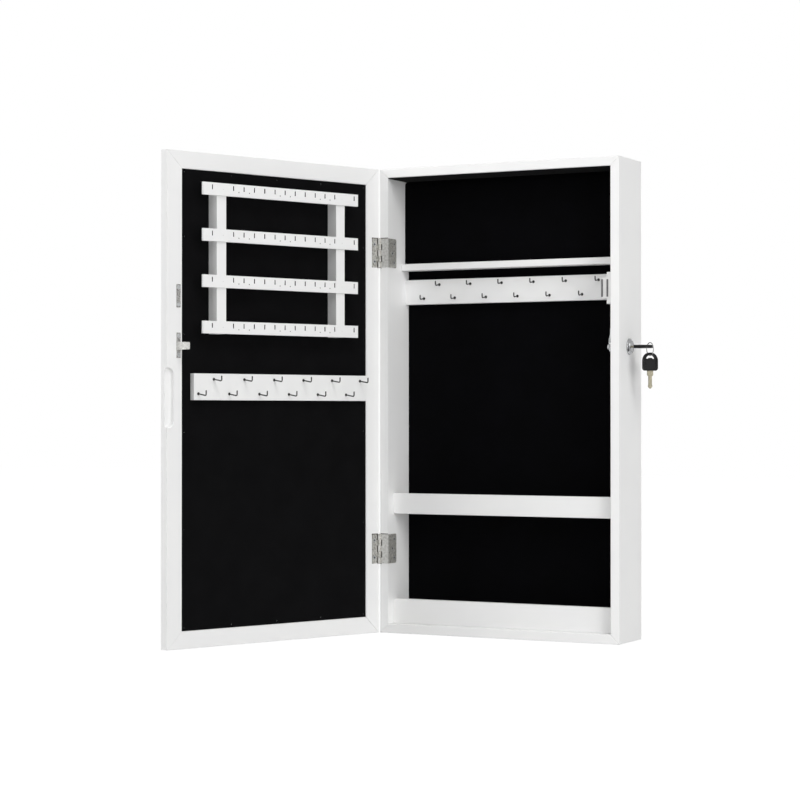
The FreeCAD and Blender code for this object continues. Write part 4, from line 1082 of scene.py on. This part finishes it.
@dataclass
class Hardware:
    """Hinges, screws, catch and strikes.

    Attributes:
        leaf_easing: Rounding of the hinge leaves.
        screw_easing: Rounding of screw heads and their cross recesses.
        catch_easing: Rounding of the moulded catch.
        knuckle_mm: Radius of the knuckles.
        relief_mm: How much further a leaf is cut back from the other's knuckles than it must be.
        relief_band_mm: Corners between these distances outside the knuckles are cut back.
        sheared_mm: How far outside the knuckles a leaf is dark from shearing.
        recess_mm: Reach of a screw's cross recess, down and aside.
        recess_top_mm: Depth below the head where the recess turns dark.
        head_slack_mm: Corners this close to a head's top belong to it.
        tongue_mm: Faces further than this in front of or behind the strikes' plates are the tongue's.
    """

    leaf_easing: Easing = field(default_factory=lambda: Easing(0.15, 2, 1.2))
    screw_easing: Easing = field(default_factory=lambda: Easing(0.06, 2, 0.4))
    catch_easing: Easing = field(default_factory=lambda: Easing(0.35, 3, 1.5))
    knuckle_mm: float = 2.75
    relief_mm: float = 1.0
    relief_band_mm: tuple[float, float] = (0.1, 0.6)
    sheared_mm: float = 1.8
    recess_mm: float = 1.7
    recess_top_mm: float = 0.05
    head_slack_mm: float = 0.02
    tongue_mm: float = 0.3

    def build(self) -> None:
        """Makes every piece of hardware."""
        for side in ("lower", "upper"):
            self.hinge(side)
        for node in ("hanger_screws", "catch_screws", "strike_screws"):
            eased(node, self.screw_easing)
        self.hinge_screws("cabinet_hinge_screws", Vector((1, 0, 0)))
        self.hinge_screws("door_hinge_screws", Vector((0, 1, 0)))
        eased("catch_body", self.catch_easing)
        eased("catch_pole_plates", self.leaf_easing, POLE_STEEL)
        eased("catch_magnet", self.leaf_easing)
        # The catch strike's mottle is painted reflections.
        eased("catch_strike", self.leaf_easing, STRIKE_STEEL)
        low, high = closed_box("catch_strike")
        margin = self.tongue_mm * MM

        def off_plate(middle: Vector, normal: Vector, area: float) -> bool:
            """Tells a face of the tongue, which stands off the plate."""
            return not low.y - margin < middle.y < high.y + margin

        # The lock strike's plate is mottled with painted reflections.
        strike = eased("lock_strike", self.leaf_easing, STRIKE_STEEL)
        # The tongue is made lighter as a painted highlight.
        dress_faces(strike, "lock_strike", NICKEL_WITH_PAINTED_HIGHLIGHT, off_plate)

    def hinge_screws(self, node: str, outward: Vector) -> None:
        """Countersunk screws, with painted shade down in their cross recesses.

        Args:
            node: The screws' node.
            outward: Which way the heads face on the closed cabinet.
        """
        turn = closed_turn(node)
        mesh = merged_copy(node)
        heads = []
        for island in islands(mesh):
            corners = [turn @ vert.co for vert in island]
            limit = max(corner.dot(outward) for corner in corners) - self.head_slack_mm * MM
            rim = [corner for corner in corners if corner.dot(outward) > limit]
            heads.append(sum(rim, Vector()) / len(rim))
        mesh.free()

        def recess(middle: Vector, normal: Vector, area: float) -> bool:
            """Tells a face down in a screw's cross recess.

            Args:
                middle: The face's middle.
                normal: Its normal, which doesn't matter.
                area: Its area, which doesn't matter.

            Returns:
                True for such a face.
            """
            for head in heads:
                deep = (head - middle).dot(outward) / MM
                aside = (middle - head + outward * (head - middle).dot(outward)).length / MM
                if self.recess_top_mm < deep < self.recess_mm and aside < self.recess_mm:
                    return True
            return False

        # Cross recesses take painted shade.
        dress_faces(eased(node, self.screw_easing), node, RECESS_BLACK, recess)

    def hinge(self, side: str) -> None:
        """One hinge of two leaves on a pin.

        Args:
            side: Lower or upper.
        """
        low, high = (Vector(corner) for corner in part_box(f"hinge_pin_{side}"))
        self.leaf(f"cabinet_hinge_leaf_{side}", (low + high) / 2)
        self.leaf(f"door_hinge_leaf_{side}", (low + high) / 2)
        eased(f"hinge_pin_{side}", self.leaf_easing)

    def leaf(self, node: str, pin: Vector) -> None:
        """A hinge leaf, cut back well clear of the other's knuckles, darkened where it was sheared by oxide and
        painted shade of the knuckle gaps, and on the case with a painted highlight on its front strip.

        Args:
            node: The leaf's node.
            pin: The middle of its pin.
        """
        turn = closed_turn(node)
        axis = turn @ pin

        near, far = (self.knuckle_mm + edge for edge in self.relief_band_mm)

        def cut_back(mesh: BMesh) -> None:
            """Draws the leaf's edge away from the other leaf's knuckles.

            Args:
                mesh: The leaf's clean shape.
            """
            for vert in mesh.verts:
                away = (turn @ vert.co - axis).xy
                if near < away.length / MM < far:
                    step = math.copysign(self.relief_mm * MM, away.x)
                    vert.co += turn.inverted() @ Vector((step, 0, 0))

        def sheared(middle: Vector, normal: Vector, area: float) -> bool:
            """Tells a sheared face: a knuckle's end, or an edge that faces the pin.

            Args:
                middle: The face's middle.
                normal: Its normal.
                area: Its area, which doesn't matter.

            Returns:
                True for such a face.
            """
            away = (middle - axis).xy
            return away.length < (self.knuckle_mm + self.sheared_mm) * MM and (
                abs(normal.z) > FACING or normal.xy.dot(away.normalized()) < -LEANING
            )

        def faces_front(middle: Vector, normal: Vector, area: float) -> bool:
            """Tells the front face of a leaf on the case, apart from what was sheared."""
            return node.startswith("cabinet") and normal.y < -FACING and not sheared(middle, normal, area)

        leaf = eased(node, self.leaf_easing, reshape=cut_back)
        # Sheared faces are darkened by oxide and painted shade of the knuckle gaps.
        dress_faces(leaf, node, OXIDE_AND_PAINTED_GAP_SHADE, sheared)
        # Front strips on the case are made lighter as a painted highlight.
        dress_faces(leaf, node, NICKEL_WITH_PAINTED_HIGHLIGHT, faces_front)


@dataclass
class LockAndKeys:
    """The cam lock with its key, the ring and the spare key.

    Attributes:
        lock_easing: Rounding of turned and stamped lock pieces.
        bow_easing: Rounding of the moulded bows.
        blade_easing: Rounding of the blades.
        rim_mm: Raised rim round the face of a bow.
        field_mm: How far the face inside the rim lies below it.
        land_mm: Land between a blade's outline and its milled groove.
        groove_mm: Depth of that groove.
        wall_share: How far a sunk face's wall slopes inwards, as a share of its depth.
        level_slack_mm: Faces this close to the outermost one belong to the same broad face.
    """

    lock_easing: Easing = field(default_factory=lambda: Easing(0.2, 2, 0.5))
    bow_easing: Easing = field(default_factory=lambda: Easing(0.3, 3, 0.3))
    blade_easing: Easing = field(default_factory=lambda: Easing(0.12, 2, 0.8))
    rim_mm: float = 1.3
    field_mm: float = 0.35
    land_mm: float = 1.1
    groove_mm: float = 0.3
    wall_share: float = 0.6
    level_slack_mm: float = 0.05

    def build(self) -> None:
        """Makes the lock, both keys and the ring."""
        for node in ("lock_barrel", "lock_nut", "lock_plug", "lock_cam", "cam_screw"):
            eased(node, self.lock_easing)
        for key in ("key", "spare_key"):
            eased(f"{key}_bow", self.bow_easing, reshape=self.sink_bow)
            eased(f"{key}_blade", self.blade_easing, reshape=self.mill_blade)
        eased("key_ring", Easing(0.05, 1, 9.0), RING_WIRE)

    def sink_bow(self, mesh: BMesh) -> None:
        """Sinks both faces of a bow inside a raised rim.

        Args:
            mesh: The bow's clean shape.
        """
        self.sink_faces(mesh, self.rim_mm, self.field_mm)

    def mill_blade(self, mesh: BMesh) -> None:
        """Mills the shallow groove into both faces of a blade.

        Args:
            mesh: The blade's clean shape.
        """
        self.sink_faces(mesh, self.land_mm, self.groove_mm)

    def sink_faces(self, mesh: BMesh, land_mm: float, depth_mm: float) -> None:
        """Insets the two broad faces of a flat piece and sinks what lies inside.

        Args:
            mesh: The clean shape.
            land_mm: Width left at the outline.
            depth_mm: How deep the inside goes.
        """
        widest = max(mesh.faces, key=lambda face: face.calc_area())
        broad = widest.normal.copy()
        for sign in (1, -1):
            faces = [face for face in mesh.faces if face.normal.dot(broad) * sign > 0.999]
            level = max(face.calc_center_median().dot(broad) * sign for face in faces)
            limit = level - self.level_slack_mm * MM
            faces = [face for face in faces if face.calc_center_median().dot(broad) * sign > limit]
            for inset_mm, drop_mm in ((land_mm, 0.0), (depth_mm * self.wall_share, depth_mm)):
                bmesh.ops.inset_region(
                    mesh,
                    faces=faces,
                    thickness=inset_mm * MM,
                    depth=-drop_mm * MM,
                    use_even_offset=True,
                    use_boundary=True,
                )


@dataclass
class Studio:
    """Plain pale floor, soft lamps and the camera of the photograph.

    Attributes:
        camera_at: The camera, in the frame of the model.
        heading_deg: Camera turned from +Y towards -X.
        pitch_deg: Camera turned up.
        focal_px: Focal length in pixels of an 800 pixel frame.
        frame_px: Width of the photograph.
        floor_drop: Floor below the lowest point of the cabinet.
        horizon: Strength of the room's own light at eye level.
        overhead: Strength of the room's own light from above.
        overhead_from: Height on the sky's unit sphere from which the overhead strength holds.
        floor_glow: What the floor adds to its lit tone where it is seen directly.
        floor_tone: How much light the floor gives back.
        floor_half: Half of its side.
        lamps_aim: The point that all lamps face.
    """

    camera_at: Vector = field(default_factory=lambda: Vector((1.27746, -2.85465, -0.31882)))
    heading_deg: float = 27.299
    pitch_deg: float = 0.384
    focal_px: float = 2165.45
    frame_px: float = 800.0
    floor_drop: float = 0.7
    horizon: float = 0.16
    overhead: float = 0.28
    overhead_from: float = 0.9
    floor_glow: float = 0.78
    floor_tone: float = 0.9
    floor_half: float = 30.0
    lamps_aim: Vector = field(default_factory=lambda: Vector((0, -0.1, -0.3)))

    def build(self) -> None:
        """Sets the view transform and makes world, floor, lamps and camera."""
        bpy.context.scene.view_settings.view_transform = "Standard"
        self.world()
        self.floor()
        self.lamps()
        self.camera()

    def seen_directly(self, tree: Tree) -> Socket:
        """One where a ray shows the background itself: seen, mirrored or through clear material.

        Args:
            tree: Nodes of the world or of a stage material.

        Returns:
            The socket with that value.
        """
        path = add_node(tree, "ShaderNodeLightPath")
        seen = path.outputs["Is Camera Ray"]
        for ray in ("Is Glossy Ray", "Is Transmission Ray"):
            seen = add_node(
                tree, "ShaderNodeMath", {"operation": "MAXIMUM"}, _0=seen, _1=path.outputs[ray]
            ).outputs["Value"]
        return seen

    def world(self) -> None:
        """White where it is seen; as light, a room that is brighter overhead than at eye level."""
        world = bpy.data.worlds.new("studio_world")
        bpy.context.scene.world = world
        world.use_nodes = True
        tree = world.node_tree
        tree.nodes.clear()
        place = add_node(tree, "ShaderNodeTexCoord").outputs["Object"]
        rise = add_node(tree, "ShaderNodeSeparateXYZ", Vector=place).outputs["Z"]
        room = add_node(
            tree,
            "ShaderNodeMapRange",
            Value=rise,
            From_Min=0.0,
            From_Max=self.overhead_from,
            To_Min=self.horizon,
            To_Max=self.overhead,
        )
        strength = add_node(
            tree,
            "ShaderNodeMix",
            _0=self.seen_directly(tree),
            _2=room.outputs["Result"],
            _3=1.0,
        )
        light = add_node(
            tree, "ShaderNodeBackground", Color=(1.0, 1.0, 1.0, 1.0), Strength=strength.outputs[0]
        )
        add_node(tree, "ShaderNodeOutputWorld", Surface=light.outputs["Background"])

    def floor(self) -> None:
        """A pale floor well below the hanging cabinet."""
        low = Vector(cad_bounds[0])
        mesh = bmesh.new()
        bmesh.ops.create_grid(mesh, x_segments=1, y_segments=1, size=self.floor_half)
        bmesh.ops.translate(mesh, vec=(0, 0, low.z - self.floor_drop), verts=mesh.verts)
        data = bpy.data.meshes.new("floor")
        mesh.to_mesh(data)
        mesh.free()
        material = bpy.data.materials.new("pale_studio_floor")
        material.use_nodes = True
        tree = material.node_tree
        tree.nodes.clear()
        matt = add_node(tree, "ShaderNodeBsdfDiffuse", Color=(*[self.floor_tone] * 3, 1.0))
        seen = self.seen_directly(tree)
        lift = add_node(
            tree, "ShaderNodeMath", {"operation": "MULTIPLY"}, _0=seen, _1=self.floor_glow
        )
        glow = add_node(tree, "ShaderNodeEmission", Strength=lift.outputs["Value"])
        both = add_node(
            tree, "ShaderNodeAddShader", _0=matt.outputs["BSDF"], _1=glow.outputs["Emission"]
        )
        add_node(tree, "ShaderNodeOutputMaterial", Surface=both.outputs["Shader"])
        data.materials.append(material)
        floor = bpy.data.objects.new("studio_floor", data)
        bpy.context.scene.collection.objects.link(floor)

    def lamps(self) -> None:
        """Soft boxes: the main one high at the right front, one each at the left front, right and top."""
        self.soft_box("main", Vector((2.0, -2.2, 2.4)), size=1.6, watts=54.0)
        self.soft_box("left_front", Vector((-2.1, -2.2, 0.6)), size=1.5, watts=34.0)
        self.soft_box("right", Vector((2.6, -1.6, 0.2)), size=1.4, watts=31.0)
        self.soft_box("top", Vector((-0.2, -0.9, 1.9)), size=1.5, watts=10.0)

    def soft_box(self, name: str, place: Vector, size: float, watts: float) -> None:
        """A square area lamp aimed at the middle of the cabinet.

        Args:
            name: Its name.
            place: Where it stands.
            size: Its side.
            watts: Its power.
        """
        data = bpy.data.lights.new(name, "AREA")
        data.shape = "SQUARE"
        data.size = size
        data.energy = watts
        lamp = bpy.data.objects.new(name, data)
        bpy.context.scene.collection.objects.link(lamp)
        lamp.rotation_euler = (self.lamps_aim - place).to_track_quat("-Z", "Y").to_euler()
        lamp.location = place

    def camera(self) -> None:
        """The camera of the photograph, solved from the cabinet's corners."""
        data = bpy.data.cameras.new("camera")
        data.sensor_width = 36.0
        data.lens = self.focal_px / self.frame_px * data.sensor_width
        data.clip_end = 100.0
        camera = bpy.data.objects.new("camera", data)
        camera.location = self.camera_at
        camera.rotation_euler = (math.radians(90 + self.pitch_deg), 0.0, math.radians(self.heading_deg))
        bpy.context.scene.collection.objects.link(camera)
        bpy.context.scene.camera = camera


def main() -> None:
    """Builds the cabinet's sub-assemblies in order and reports each piece."""
    logging.basicConfig(level=logging.INFO, format="%(name)s: %(message)s")
    Studio().build()
    Carcass().build()
    MirrorDoor().build()
    CupHooks("cabinet_hooks", 12.5, Vector((0, -1, 0))).build()
    CupHooks("door_hooks", 18.0, Vector((0, 1, 0))).build()
    Hardware().build()
    LockAndKeys().build()


if __name__ == "__main__":
    main()
